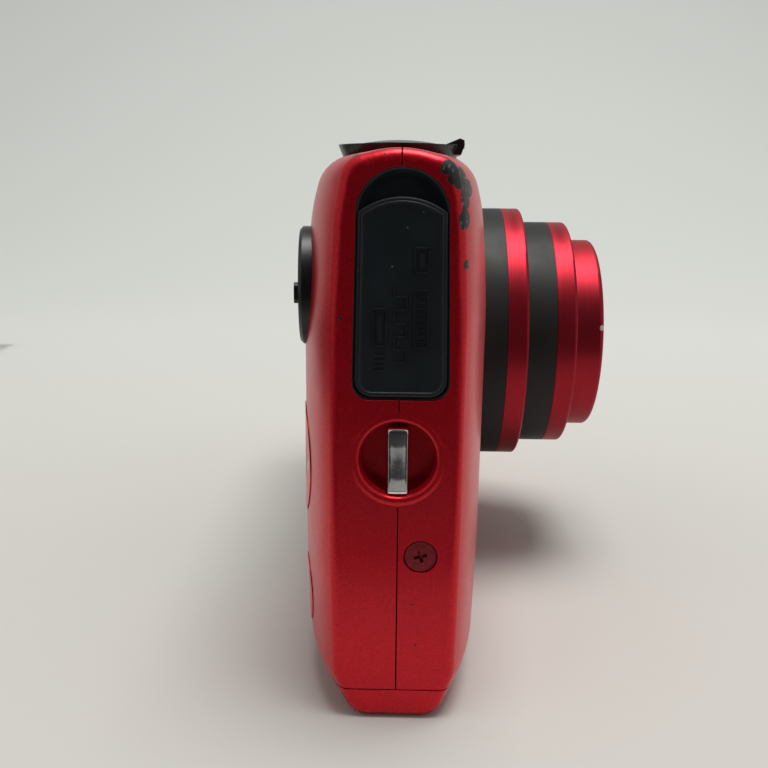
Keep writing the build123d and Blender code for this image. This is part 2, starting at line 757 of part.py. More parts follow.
shutter_y = inner_length - inner_front - 0.4
with BuildPart() as shutter_unit:
    with BuildSketch(facing_front(lens_x, shutter_y, lens_z)):
        Circle(inner_bore - 0.05)
        Circle(3.2, mode=Mode.SUBTRACT)
    extrude(amount=1.6)
save(shutter_unit, "shutter_unit")

with BuildPart() as zoom_group:
    with BuildSketch(facing_front(lens_x, shutter_y - 1.7, lens_z)):
        Circle(8.5)
    extrude(amount=2.6)
    with BuildSketch(facing_front(lens_x, shutter_y - 2.2, lens_z)):
        Circle(inner_bore - 0.05)
        Circle(8.5, mode=Mode.SUBTRACT)
    extrude(amount=0.8)
save(zoom_group, "zoom_group")

with BuildPart() as focus_carriage:
    with BuildSketch(facing_front(lens_x, 4.4, lens_z)):
        Circle(6.2)
    extrude(amount=1.2)
    with BuildSketch(facing_front(lens_x, 4.2, lens_z)):
        Circle(7.2)
        Circle(6.2, mode=Mode.SUBTRACT)
        with Locations((0, 9.0), (0, -9.0)):
            Rectangle(3.0, 5.0)
            Circle(0.6, mode=Mode.SUBTRACT)
    extrude(amount=0.9)
save(focus_carriage, "focus_carriage")

with BuildPart() as focus_rails:
    with BuildSketch(facing_front(lens_x, 5.9, lens_z)):
        with Locations((0, 9.0), (0, -9.0)):
            Circle(0.55)
    extrude(amount=4.1)
save(focus_rails, "focus_rails")

fixed_tube_radius = 19.7
fixed_tube_inner = 18.9
case_front = 7.85
with BuildPart() as fixed_tube:
    with BuildSketch(facing_front(lens_x, 4.7, lens_z)):
        Circle(fixed_tube_radius)
        Circle(fixed_tube_inner, mode=Mode.SUBTRACT)
    extrude(amount=4.7 + case_front)
save(fixed_tube, "fixed_tube")


def toothed_disc(plane, teeth, module, first_angle):
    """Spur gear outline: a root circle with straight-flanked teeth."""
    pitch_radius = teeth * module / 2
    root = pitch_radius - 1.15 * module
    tip = pitch_radius + 0.85 * module
    with BuildSketch(plane) as outline:
        Circle(root)
        with PolarLocations(0, teeth, start_angle=first_angle):
            Polygon((root - 0.3, -0.95 * module), (root, -0.95 * module), (tip, -0.33 * module),
                    (tip, 0.33 * module), (root, 0.95 * module), (root - 0.3, 0.95 * module), align=None)
    return outline.sketch


gear_module = 0.5
cam_teeth = 80
pinion_teeth = 10
pinion_angle = -45.0
pinion_distance = gear_module * (cam_teeth + pinion_teeth) / 2 + 0.05
pinion_x = lens_x + pinion_distance * math.cos(math.radians(pinion_angle))
pinion_z = lens_z + pinion_distance * math.sin(math.radians(pinion_angle))
gear_back = 5.75
gear_width = 0.8
with BuildPart() as cam_ring:
    with BuildSketch(facing_front(lens_x, gear_back, lens_z)):
        Circle(18.75)
    extrude(amount=gear_back + case_front)
    extrude(toothed_disc(facing_front(lens_x, gear_back, lens_z), cam_teeth, gear_module, pinion_angle),
            amount=gear_width)
    with BuildSketch(facing_front(lens_x, gear_back + 1, lens_z)):
        Circle(outer_radius + 0.12)
    extrude(amount=gear_back + case_front + 2, mode=Mode.SUBTRACT)
save(cam_ring, "cam_ring")

with BuildPart() as zoom_pinion:
    extrude(toothed_disc(facing_front(pinion_x, gear_back, pinion_z), pinion_teeth, gear_module,
                     pinion_angle + 180 + 180 / pinion_teeth), amount=gear_width)
    with BuildSketch(facing_front(pinion_x, gear_back, pinion_z)):
        Circle(0.5)
    extrude(amount=3.4)
save(zoom_pinion, "zoom_pinion")

motor_x = 26.0
motor_z = 8.4
motor_radius = 4.3
with BuildPart() as zoom_motor:
    with BuildSketch(facing_front(motor_x, 3.4, motor_z)):
        Circle(motor_radius)
    extrude(amount=9.6)
    with BuildSketch(facing_front(0, 4.75, 0)):
        with Locations((motor_x, motor_z)):
            Circle(motor_radius)
        with Locations((pinion_x + 0.6, pinion_z - 1.2)):
            Circle(2.4)
        with Locations((pinion_x, pinion_z)):
            Circle(1.5)
    extrude(amount=1.35)
    with BuildSketch(facing_front(pinion_x, 5, pinion_z)):
        Circle(0.55)
    extrude(amount=5, mode=Mode.SUBTRACT)
save(zoom_motor, "zoom_motor")

# ---------------------------------------------------------------- inside: sensor, chassis, boards
with BuildPart() as sensor_plate:
    with BuildSketch(facing_front(lens_x, 6.45, lens_z)):
        RectangleRounded(42, 42, 4)
    extrude(amount=0.5)
    with BuildSketch(facing_front(lens_x, 7, lens_z)):
        Rectangle(9.2, 7.6)
        with Locations((pinion_x - lens_x, pinion_z - lens_z)):
            Circle(3.2)
    extrude(amount=3, mode=Mode.SUBTRACT)
save(sensor_plate, "sensor_plate")

with BuildPart() as image_sensor:
    with BuildSketch(facing_front(lens_x, 6.45, lens_z)):
        Rectangle(9.0, 7.4)
    extrude(amount=0.9)
save(image_sensor, "image_sensor")

with BuildPart() as chassis_plate:
    with BuildSketch(Plane.XZ.offset(-6.95)):
        with Locations((12.5, 26.5)):
            RectangleRounded(54, 43, 2)
        with Locations((-11, 46), (36, 46), (-11, 7), (36, 7)):
            Circle(1.2, mode=Mode.SUBTRACT)
    extrude(amount=0.4)
save(chassis_plate, "chassis_plate")

with BuildPart() as main_board:
    with BuildSketch(Plane.XZ.offset(-5.8)):
        with Locations((36.0, 26.0)):
            Rectangle(10.5, 30.0)
    extrude(amount=0.8)
    with BuildSketch(Plane.XZ.offset(-5.0)):
        with Locations((36.5, 33.0)):
            Rectangle(6, 6)
        with Locations((35.5, 22.0)):
            Rectangle(5, 7)
    extrude(amount=0.7)
save(main_board, "main_board")

with BuildPart() as button_board:
    with BuildSketch(Plane.XZ.offset(-6.3)):
        with Locations((-28.5, 26.0)):
            RectangleRounded(21.0, 43.0, 1.5)
    extrude(amount=0.6)
save(button_board, "button_board")

with BuildPart() as dome_sheet:
    with BuildSketch(Plane.XZ.offset(-6.35)):
        with Locations((-28.3, 18.5)):
            RectangleRounded(17.0, 27.0, 1.5)
    extrude(amount=-0.2)
    with BuildSketch(Plane.XZ.offset(-6.5)):
        with Locations((pad_x, pad_z), (menu_x, low_button_z), (playback_x, low_button_z)):
            Circle(1.8)
    extrude(amount=-0.3)
save(dome_sheet, "dome_sheet")

with BuildPart() as top_board:
    with BuildSketch(Plane.XY.offset(50.6)):
        with Locations((-20.0, 0.3)):
            RectangleRounded(29.0, 9.0, 1.5)
    extrude(amount=0.6)
    with BuildSketch(Plane.XY.offset(51.2)):
        with Locations((lever_x, lever_y), (power_x, lever_y)):
            Rectangle(2.6, 2.6)
    extrude(amount=0.4)
save(top_board, "top_board")

bay_x = (-36.0, -13.7)
bay_y = (-5.1, 1.75)
bay_z = (3.3, 41.8)
with BuildPart() as battery_bay:
    add(block(bay_x, bay_y, bay_z))
    add(block((bay_x[0] + 0.4, bay_x[1] - 0.4), (bay_y[0] + 0.4, bay_y[1] - 0.4), (2, bay_z[1] - 0.4)),
        mode=Mode.SUBTRACT)
save(battery_bay, "battery_bay")

with BuildPart() as battery_contacts:
    with Locations(*[(x, -1.9, 41.05) for x in (-30.0, -27.0, -24.0)]):
        Box(1.2, 3.4, 0.5)
save(battery_contacts, "battery_contacts")

with BuildPart() as battery:
    add(block((bay_x[0] + 0.75, bay_x[1] - 0.75), (bay_y[0] + 0.7, bay_y[1] - 0.7), (2.6, 40.6)))
    fillet(battery.edges().filter_by(Axis.Z), 1.2)
save(battery, "battery")

card_x = (-37.75, -13.75)
with BuildPart() as card_slot:
    add(block((card_x[0] - 0.3, card_x[1] + 0.3), (1.95, 4.95), (5.0, 36.6)))
    add(block((card_x[0] - 0.1, card_x[1] + 0.1), (2.2, 4.7), (4.0, 36.2)), mode=Mode.SUBTRACT)
save(card_slot, "card_slot")

with BuildPart() as memory_card:
    with BuildSketch(Plane.XZ.offset(-2.4)):
        with BuildLine():
            Polyline((card_x[0], 3.2), (card_x[1], 3.2), (card_x[1], 35.2), (card_x[0] + 3, 35.2),
                     (card_x[0], 32.2), close=True)
        make_face()
    extrude(amount=-2.1)
save(memory_card, "memory_card")

with BuildPart() as flash_lamp:
    with BuildSketch(Plane.XZ.offset(6.7)):
        with Locations(((flash_x[0] + flash_x[1]) / 2, (flash_z[0] + flash_z[1]) / 2)):
            Rectangle(9.6, 4.6)
    extrude(amount=-3.6, taper=8)
save(flash_lamp, "flash_lamp")

with BuildPart() as flash_capacitor:
    with BuildSketch(Plane.XY.offset(5.0)):
        with Locations((34.75, -1.4)):
            Circle(4.2)
    extrude(amount=33)
    fillet(flash_capacitor.edges(), 0.5)
save(flash_capacitor, "flash_capacitor")

with BuildPart() as speaker:
    with BuildSketch(Plane.YZ.offset(39.6)):
        with Locations((2.4, speaker_z)):
            Circle(3.3)
    extrude(amount=2.0)
save(speaker, "speaker")

with BuildPart() as microphone:
    with BuildSketch(Plane.XY.offset(51.0)):
        with Locations((microphone_x, 2.6)):
            Circle(1.8)
    extrude(amount=1.4)
save(microphone, "microphone")

# ---------------------------------------------------------------- bottom: door, latch, pin, tripod socket
with BuildPart() as battery_door:
    with BuildSketch(Plane.YZ.offset(hatch_x[0])):
        with Locations((hatch_hinge_y, hatch_hinge_z)):
            Circle(hatch_thickness / 2)
        with Locations(((hatch_hinge_y + hatch_edge_y) / 2, hatch_hinge_z)):
            Rectangle(hatch_edge_y - hatch_hinge_y, hatch_thickness)
        with Locations((hatch_hinge_y, hatch_hinge_z)):
            Circle(hatch_pin_radius + fit_gap, mode=Mode.SUBTRACT)
    extrude(amount=hatch_x[1] - hatch_x[0])
    add(block((-28.2, -21.8), (1.9, 4.0), (-1, 0.62)), mode=Mode.SUBTRACT)
save(battery_door, "battery_door")

with BuildPart() as door_latch:
    add(block((-28.1, -23.8), (2.0, 3.9), (0.08, 0.58)))
save(door_latch, "door_latch")

with BuildPart() as door_pin:
    with BuildSketch(Plane.YZ.offset(hatch_x[0] - 1.4)):
        with Locations((hatch_hinge_y, hatch_hinge_z)):
            Circle(hatch_pin_radius)
    extrude(amount=hatch_x[1] - hatch_x[0] + 2.8)
save(door_pin, "door_pin")

with BuildPart() as tripod_socket:
    with BuildSketch(Plane.XY):
        Circle(socket_body_radius)
        Circle(socket_radius, mode=Mode.SUBTRACT)
    extrude(amount=socket_depth)
    with BuildSketch(Plane.XY.offset(socket_depth)):
        Circle(socket_body_radius)
    extrude(amount=0.8)
    with BuildSketch(Plane.XY.offset(2.6)):
        Circle(5.6)
        Circle(socket_body_radius - 0.1, mode=Mode.SUBTRACT)
    extrude(amount=1.0)
save(tripod_socket, "tripod_socket")
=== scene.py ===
import math

import bmesh
import bpy
from mathutils import Matrix, Vector


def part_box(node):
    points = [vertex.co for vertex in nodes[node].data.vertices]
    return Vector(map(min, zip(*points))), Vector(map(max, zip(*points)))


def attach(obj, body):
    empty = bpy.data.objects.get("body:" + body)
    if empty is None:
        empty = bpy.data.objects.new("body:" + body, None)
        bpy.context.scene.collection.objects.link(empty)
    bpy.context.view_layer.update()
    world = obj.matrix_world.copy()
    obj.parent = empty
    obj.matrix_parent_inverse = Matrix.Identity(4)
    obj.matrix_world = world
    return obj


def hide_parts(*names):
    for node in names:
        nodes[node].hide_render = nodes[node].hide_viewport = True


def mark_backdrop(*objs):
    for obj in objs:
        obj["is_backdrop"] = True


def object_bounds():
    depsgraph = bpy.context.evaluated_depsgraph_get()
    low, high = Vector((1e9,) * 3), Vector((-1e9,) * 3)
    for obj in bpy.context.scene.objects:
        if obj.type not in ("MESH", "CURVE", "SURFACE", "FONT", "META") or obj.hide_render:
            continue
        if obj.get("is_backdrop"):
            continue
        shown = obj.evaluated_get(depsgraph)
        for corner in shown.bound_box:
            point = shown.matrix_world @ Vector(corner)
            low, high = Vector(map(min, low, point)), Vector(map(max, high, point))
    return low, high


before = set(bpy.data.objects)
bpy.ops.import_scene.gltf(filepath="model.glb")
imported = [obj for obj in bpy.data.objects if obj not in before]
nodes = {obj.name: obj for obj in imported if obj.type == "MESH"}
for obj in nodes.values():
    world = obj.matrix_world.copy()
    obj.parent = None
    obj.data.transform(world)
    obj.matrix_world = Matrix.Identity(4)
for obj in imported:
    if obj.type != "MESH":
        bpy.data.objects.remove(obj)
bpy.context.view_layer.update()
MM = 0.001


# ------------------------------------------------------------------ camera
# Seen from close to the grip end and a little above it, so the end face fills the frame
# and the lens recedes to the right. It looks down and is turned a touch to one side.
EYE = Vector((-123.0, -0.28, 51.3)) * MM
LOOK_DOWN, LOOK_ASIDE, TILT = math.radians(12.5), math.radians(1.2), math.radians(0.5)
FOCAL, SENSOR = 42.19, 36.0

look = Vector((math.cos(LOOK_DOWN) * math.cos(LOOK_ASIDE),
               math.cos(LOOK_DOWN) * math.sin(LOOK_ASIDE),
               -math.sin(LOOK_DOWN)))
right = look.cross(Vector((0, 0, 1))).normalized()
above = right.cross(look)
right, above = (right * math.cos(TILT) + above * math.sin(TILT),
                above * math.cos(TILT) - right * math.sin(TILT))
camera = bpy.data.objects.new("camera", bpy.data.cameras.new("camera"))
bpy.context.scene.collection.objects.link(camera)
camera.matrix_world = Matrix.Translation(EYE) @ Matrix((right, above, -look)).transposed().to_4x4()
camera.data.lens, camera.data.sensor_width = FOCAL, SENSOR
camera.data.clip_start, camera.data.clip_end = 0.005, 10.0
bpy.context.scene.camera = camera
bpy.context.scene.view_settings.view_transform = "Standard"


# ------------------------------------------------------------------ table and light
# A white table that sweeps up behind the camera, lit by a broad window-like panel from above
# and behind, with pale walls all round and one dark screen hung behind the camera.
def node(tree, kind, **settings):
    """Adds a shader node and sets its plain properties."""
    made = tree.new(kind)
    for key, value in settings.items():
        setattr(made, key, value)
    return made


def new_material(name, colour=None, rough=None, metal=None):
    """Node material; returns the material, its nodes, links and shader."""
    made = bpy.data.materials.new(name)
    made.use_nodes = True
    shader = made.node_tree.nodes["Principled BSDF"]
    if colour is not None:
        shader.inputs["Base Color"].default_value = (*colour, 1)
    if rough is not None:
        shader.inputs["Roughness"].default_value = rough
    if metal is not None:
        shader.inputs["Metallic"].default_value = metal
    return made, made.node_tree.nodes, made.node_tree.links, shader


def ramp(n, l, value, stops):
    """Colour ramp with the given positions and colours."""
    made = node(n, "ShaderNodeValToRGB")
    while len(made.color_ramp.elements) < len(stops):
        made.color_ramp.elements.new(0.5)
    for spot, (at, colour) in zip(made.color_ramp.elements, stops):
        spot.position = at
        spot.color = (*colour, 1) if len(colour) == 3 else colour
    l.new(value, made.inputs["Fac"])
    return made.outputs["Color"]


def link_mesh(name, mesh):
    """Object for a finished mesh, in the scene."""
    made = bpy.data.objects.new(name, mesh)
    bpy.context.scene.collection.objects.link(made)
    return made


def sweep_floor():
    """Flat table that curves up into a backdrop on the far side."""
    mesh = bpy.data.meshes.new("floor")
    build = bmesh.new()
    profile = [(-0.75, 0.0), (0.25, 0.0)]
    profile += [(0.25 + 0.6 * math.sin(a), 0.6 - 0.6 * math.cos(a))
                for a in (math.radians(d) for d in range(6, 91, 6))]
    profile += [(0.85, 1.6)]
    rows = [[build.verts.new((x, y, z)) for x, z in profile] for y in (-1.3, 1.3)]
    for k in range(len(profile) - 1):
        build.faces.new((rows[0][k], rows[0][k + 1], rows[1][k + 1], rows[1][k])).smooth = True
    build.to_mesh(mesh)
    build.free()
    return link_mesh("floor", mesh)


floor = sweep_floor()
floor_painted_light, n, l, shader = new_material("floor_painted_light", None, 0.8)
spread = node(n, "ShaderNodeSeparateXYZ")
l.new(node(n, "ShaderNodeTexCoord").outputs["Object"], spread.inputs[0])
# Painted light: the floor colour is lighter towards the far, upturned part of the sweep, to make up for the light
# falling off there.
l.new(ramp(n, l, spread.outputs["X"], ((0.0, (0.590, 0.575, 0.549)), (0.2, (0.650, 0.655, 0.632)),
                                       (0.6, (0.690, 0.698, 0.677)))), shader.inputs["Base Color"])
grain = node(n, "ShaderNodeTexNoise")
grain.inputs["Scale"].default_value = 900
soft = node(n, "ShaderNodeBump")
soft.inputs["Strength"].default_value = 0.05
soft.inputs["Distance"].default_value = 0.0001
l.new(grain.outputs["Fac"], soft.inputs["Height"])
l.new(soft.outputs["Normal"], shader.inputs["Normal"])
floor.data.materials.append(floor_painted_light)


def off_camera(made):
    """Keeps a reflector or cloth out of the picture and lets the light through it."""
    made.visible_camera = False
    made.visible_shadow = False
    return made


def dark_screen():
    """Dark cloth that hangs behind the camera and runs forward along the table, off camera; the part on the table
    is painted shadow, a dark sheet where the table in front of the object lies in shade.
    """
    mesh = bpy.data.meshes.new("dark_screen")
    build = bmesh.new()
    profile = [(-0.075, 0.0006), (-0.26, 0.0006), (-0.31, 0.03), (-0.33, 0.10), (-0.34, 0.66)]
    rows = [[build.verts.new((x, y, z)) for x, z in profile] for y in (-0.17, 0.17)]
    for k in range(len(profile) - 1):
        build.faces.new((rows[0][k], rows[0][k + 1], rows[1][k + 1], rows[1][k])).smooth = True
    build.to_mesh(mesh)
    build.free()
    return off_camera(link_mesh("dark_screen", mesh))


def low_card(name, across, along):
    """Card lying flat on the table, off camera: painted shade, a dark sheet seen only in the reflections of the
    polished parts; its spans in metres.
    """
    mesh = bpy.data.meshes.new(name)
    build = bmesh.new()
    corners = [build.verts.new((x, y, 0.0012)) for x, y in
               ((across[0], along[0]), (across[1], along[0]), (across[1], along[1]), (across[0], along[1]))]
    build.faces.new(corners)
    build.to_mesh(mesh)
    build.free()
    return off_camera(link_mesh(name, mesh))


# Painted shade: the cloth run along the table and the two cards lying on it are dark sheets that darken the table
# where the polished parts reflect it.
screen_cloth = dark_screen()
card = low_card("low_card", (-0.118, -0.086), (-0.03, 0.03))
side_cloth = low_card("side_cloth", (-0.10, 0.16), (0.125, 0.45))
dark_cloth, n, l, shader = new_material("dark_cloth", (0.012, 0.012, 0.014), 0.95)
screen_cloth.data.materials.append(dark_cloth)
side_cloth.data.materials.append(dark_cloth)
grey_shade_card, n, l, shader = new_material("grey_shade_card", (0.24, 0.24, 0.235), 0.7)
card.data.materials.append(grey_shade_card)
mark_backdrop(floor, screen_cloth, card, side_cloth)

world = bpy.data.worlds.new("room")
bpy.context.scene.world = world
world.use_nodes = True
world.node_tree.nodes["Background"].inputs[0].default_value = (0.94, 0.97, 0.94, 1)
world.node_tree.nodes["Background"].inputs[1].default_value = 0.50


def panel(name, place, target, width, height, power, colour):
    """Soft rectangular light aimed at a point; places in metres."""
    data = bpy.data.lights.new(name, "AREA")
    data.shape, data.size, data.size_y = "RECTANGLE", width, height
    data.energy, data.color = power, colour
    made = bpy.data.objects.new(name, data)
    made.location = place
    made.rotation_mode = "QUATERNION"
    made.rotation_quaternion = (Vector(target) - Vector(place)).to_track_quat("-Z", "Y")
    bpy.context.scene.collection.objects.link(made)


panel("window_above", (-0.02, -0.10, 0.80), (0.0, 0, 0.03), 0.40, 0.40, 5.2, (1.0, 0.99, 0.965))


# ------------------------------------------------------------------ case halves and bottom cover
# Pressed aluminium shells in a satin metallic red: fine flakes under a thin clear coat. Long pocket
# wear has chipped the upper front corner of the grip end down to dark primer and bare metal.
RED_DEEP, RED_BRIGHT = (0.52, 0.003, 0.011), (0.72, 0.008, 0.024)
PRIMER, BARE = (0.030, 0.028, 0.031), (0.15, 0.13, 0.13)
# Worn places on the grip end: centre, radii and how thickly they are chipped.
CHIPS = (
    ((-43.0, -4.0, 52.75), (2.2, 0.75, 0.7), 0.46),
    ((-43.0, -4.9, 51.95), (2.6, 1.15, 1.0), 0.50),
    ((-42.4, -6.0, 51.2), (2.6, 0.95, 1.0), 0.48),
    ((-43.0, -5.5, 50.0), (2.0, 0.6, 1.0), 0.36),
    ((-43.0, -5.45, 48.4), (1.8, 0.62, 0.95), 0.46),
    ((-43.2, -5.8, 44.45), (1.0, 0.26, 0.48), 0.74),
    ((-43.2, 4.4, 54.0), (1.6, 0.8, 0.4), 0.52),
    ((-43.3, 5.35, 39.6), (0.8, 0.2, 0.2), 0.62),
)
SPECKS = ((-43.6, -1.85, 7.9), (-43.6, -1.48, 12.15), (-43.3, 1.5, 53.9))


def mottle(n, l, place, scale, detail=2.0):
    """Noise over the object's own coordinates."""
    made = node(n, "ShaderNodeTexNoise")
    made.inputs["Scale"].default_value = scale
    made.inputs["Detail"].default_value = detail
    l.new(place, made.inputs["Vector"])
    return made.outputs["Fac"]


def sums(n, l, operation, first, second=None, third=None):
    """Math node between sockets or numbers."""
    made = node(n, "ShaderNodeMath", operation=operation)
    for k, value in enumerate((first, second, third)):
        if value is None:
            continue
        if isinstance(value, (int, float)):
            made.inputs[k].default_value = value
        else:
            l.new(value, made.inputs[k])
    return made.outputs[0]


def blob(n, l, place, centre, radii):
    """One at the centre of an ellipsoid and nought at its skin; sizes in millimetres."""
    moved = node(n, "ShaderNodeVectorMath", operation="SUBTRACT")
    l.new(place, moved.inputs[0])
    moved.inputs[1].default_value = [c * MM for c in centre]
    scaled = node(n, "ShaderNodeVectorMath", operation="DIVIDE")
    l.new(moved.outputs[0], scaled.inputs[0])
    scaled.inputs[1].default_value = [r * MM for r in radii]
    length = node(n, "ShaderNodeVectorMath", operation="LENGTH")
    l.new(scaled.outputs[0], length.inputs[0])
    return sums(n, l, "SUBTRACT", 1.0, length.outputs["Value"])


def blend_colour(n, l, share, first, second):
    """Mixes two colours or sockets by a share."""
    made = node(n, "ShaderNodeMix", data_type="RGBA")
    l.new(share, made.inputs["Factor"])
    for socket, value in ((made.inputs["A"], first), (made.inputs["B"], second)):
        if isinstance(value, tuple):
            socket.default_value = (*value, 1)
        else:
            l.new(value, socket)
    return made.outputs["Result"]


def bump_from(n, l, shader, height, distance, strength=1.0, edge=0.0):
    """Relief on the shader's normal, with edges eased by the edge radius in millimetres."""
    relief = node(n, "ShaderNodeBump")
    relief.inputs["Strength"].default_value = strength
    relief.inputs["Distance"].default_value = distance * MM
    l.new(height, relief.inputs["Height"])
    if edge > 0:
        eased = node(n, "ShaderNodeBevel", samples=4)
        eased.inputs["Radius"].default_value = edge * MM
        l.new(eased.outputs["Normal"], relief.inputs["Normal"])
    l.new(relief.outputs["Normal"], shader.inputs["Normal"])


def red_paint(name, chipped):
    """Satin metallic red; the chipped one carries the worn places."""
    made, n, l, shader = new_material(name, None, 0.36, 0.62)
    place = node(n, "ShaderNodeTexCoord").outputs["Object"]
    flakes = node(n, "ShaderNodeTexVoronoi")
    flakes.inputs["Scale"].default_value = 7000
    l.new(place, flakes.inputs["Vector"])
    colour = ramp(n, l, flakes.outputs["Color"], ((0.0, RED_DEEP), (1.0, RED_BRIGHT)))
    orange_peel = mottle(n, l, place, 1500)
    height = sums(n, l, "MULTIPLY_ADD", flakes.outputs["Distance"], 0.4, orange_peel)
    rough = sums(n, l, "MULTIPLY_ADD", mottle(n, l, place, 260, 4.0), 0.14, 0.28)
    metal = None
    if chipped:
        streaked = node(n, "ShaderNodeVectorMath", operation="MULTIPLY")
        l.new(place, streaked.inputs[0])
        streaked.inputs[1].default_value = (1.0, 1.7, 0.75)
        crumbs = mottle(n, l, streaked.outputs[0], 700, 6.0)
        worn = None
        for centre, radii, thick in CHIPS:
            near = blob(n, l, place, centre, radii)
            here = sums(n, l, "ADD", sums(n, l, "MULTIPLY", near, 0.75),
                        sums(n, l, "MULTIPLY_ADD", crumbs, 1.15, thick - 1.0))
            inside = sums(n, l, "GREATER_THAN", near, 0.0)
            here = sums(n, l, "MULTIPLY", here, inside)
            worn = here if worn is None else sums(n, l, "MAXIMUM", worn, here)
        for centre in SPECKS:
            dot = sums(n, l, "MULTIPLY", blob(n, l, place, centre, (0.6, 0.12, 0.1)), 1.5)
            worn = sums(n, l, "MAXIMUM", worn, dot)
        gone = sums(n, l, "GREATER_THAN", worn, 0.035)
        rubbed = sums(n, l, "GREATER_THAN", mottle(n, l, streaked.outputs[0], 2400, 4.0), 0.61)
        under = blend_colour(n, l, rubbed, PRIMER, BARE)
        colour = blend_colour(n, l, gone, colour, under)
        height = sums(n, l, "MULTIPLY_ADD", gone, -3.0, height)
        rough = sums(n, l, "MULTIPLY_ADD", gone, 0.15, rough)
        metal = sums(n, l, "MULTIPLY_ADD", gone, -0.3, 0.62)
    l.new(colour, shader.inputs["Base Color"])
    l.new(rough, shader.inputs["Roughness"])
    if metal is not None:
        l.new(metal, shader.inputs["Metallic"])
    bump_from(n, l, shader, height, 0.006, 0.5, 0.12)
    shader.inputs["Specular IOR Level"].default_value = 0.3
    shader.inputs["Coat Weight"].default_value = 0.22
    shader.inputs["Coat Roughness"].default_value = 0.2
    return made


def dress(names, material):
    """Gives CAD nodes their finish."""
    for name in names:
        mesh = nodes[name].data
        mesh.materials.clear()
        mesh.materials.append(material)


paint = red_paint("red_metallic_paint", True)
dress(("front_shell", "rear_shell", "bottom_cover"), paint)


# ------------------------------------------------------------------ port recess
# Black moulded tray behind the port door. Above the door it shows as a smooth hollow for a
# fingertip; behind the door it is a flat floor round the two sockets.
def soft_black(name, colour, rough, grain_scale, grain_depth, edge=0.0, dust=0.0):
    """Moulded black plastic or rubber with a fine grain and a little pale dust."""
    made, n, l, shader = new_material(name, colour, rough)
    place = node(n, "ShaderNodeTexCoord").outputs["Object"]
    grains = mottle(n, l, place, grain_scale, 3.0)
    wide = mottle(n, l, place, 300, 4.0)
    l.new(sums(n, l, "MULTIPLY_ADD", wide, 0.22, rough - 0.11), shader.inputs["Roughness"])
    lighter = tuple(c * 1.6 + 0.001 for c in colour)
    tinted = ramp(n, l, wide, ((0.3, colour), (0.8, lighter)))
    if dust > 0:
        motes = node(n, "ShaderNodeTexVoronoi")
        motes.inputs["Scale"].default_value = 620
        l.new(place, motes.inputs["Vector"])
        mote = sums(n, l, "LESS_THAN", motes.outputs["Distance"], dust)
        rare = sums(n, l, "GREATER_THAN", mottle(n, l, place, 420), 0.50)
        tinted = blend_colour(n, l, sums(n, l, "MULTIPLY", mote, rare), tinted, (0.22, 0.23, 0.22))
    l.new(tinted, shader.inputs["Base Color"])
    bump_from(n, l, shader, grains, grain_depth, 0.6, edge)
    return made


moulded_black = soft_black("moulded_black", (0.014, 0.020, 0.025), 0.40, 2200, 0.010, 0.1)


def arch_outline(half_foot, half_top, foot, shoulder, top, corner, inset=0.0, count=28):
    """Points round a slot with a straight foot, leaning sides and an arched top, drawn in by the inset."""
    rise = top - shoulder
    ball = (half_top ** 2 + rise ** 2) / (2 * rise)
    centre = top - ball
    ball, low, high = ball - inset, half_foot - inset, half_top - inset
    foot, corner = foot + inset, max(corner - inset, 0.3)
    shoulder = centre + math.sqrt(ball ** 2 - high ** 2)
    points = []
    for k in range(7):
        turn = math.radians(-90 + 15 * k)
        points.append((low - corner + corner * math.cos(turn), foot + corner + corner * math.sin(turn)))
    start = math.asin(high / ball)
    for k in range(5):
        share = (k + 1) / 6
        points.append((low + (high - low) * share, foot + corner + (shoulder - foot - corner) * share))
    for k in range(count + 1):
        turn = start - 2 * start * k / count
        points.append((ball * math.sin(turn), centre + ball * math.cos(turn)))
    for k in range(5):
        share = (5 - k) / 6
        points.append((-low - (high - low) * share, foot + corner + (shoulder - foot - corner) * share))
    for k in range(7):
        turn = math.radians(180 + 15 * k)
        points.append((-low + corner + corner * math.cos(turn), foot + corner + corner * math.sin(turn)))
    return points


def stacked(name, rings, close_first=True, close_last=True):
    """Mesh from rings of (x, y, z) points in millimetres, joined one to the next."""
    mesh = bpy.data.meshes.new(name)
    build = bmesh.new()
    loops = [[build.verts.new([c * MM for c in point]) for point in ring] for ring in rings]
    total = len(rings[0])
    for low, high in zip(loops, loops[1:]):
        for k in range(total):
            build.faces.new((low[k], low[(k + 1) % total], high[(k + 1) % total], high[k])).smooth = True
    if close_first:
        build.faces.new(loops[0][::-1])
    if close_last:
        build.faces.new(loops[-1])
    bmesh.ops.recalc_face_normals(build, faces=build.faces)
    build.to_mesh(mesh)
    build.free()
    return link_mesh(name, mesh)


tray_low, tray_high = (Vector(corner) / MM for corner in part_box("port_tray"))
tray_y = (tray_low.y + tray_high.y) / 2
tray_mouth = tray_low.x
scoop_rings = []
TRAY_SHAPE = (4.52, 4.12, 32.12, 49.5, 52.88, 1.6)
for inset, depth in ((0.0, 1.95), (0.0, 0.0), (0.06, 0.0), (0.16, 0.03), (0.3, 0.22), (0.55, 0.62),
                     (0.9, 1.02), (1.4, 1.32), (2.0, 1.48), (2.7, 1.55)):
    ring = arch_outline(*TRAY_SHAPE, inset)
    scoop_rings.append([(tray_mouth + depth, tray_y + y, z) for y, z in ring])
port_scoop = stacked("port_scoop", scoop_rings, False, True)
port_scoop.data.materials.append(moulded_black)
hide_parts("port_tray")
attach(port_scoop, "root")
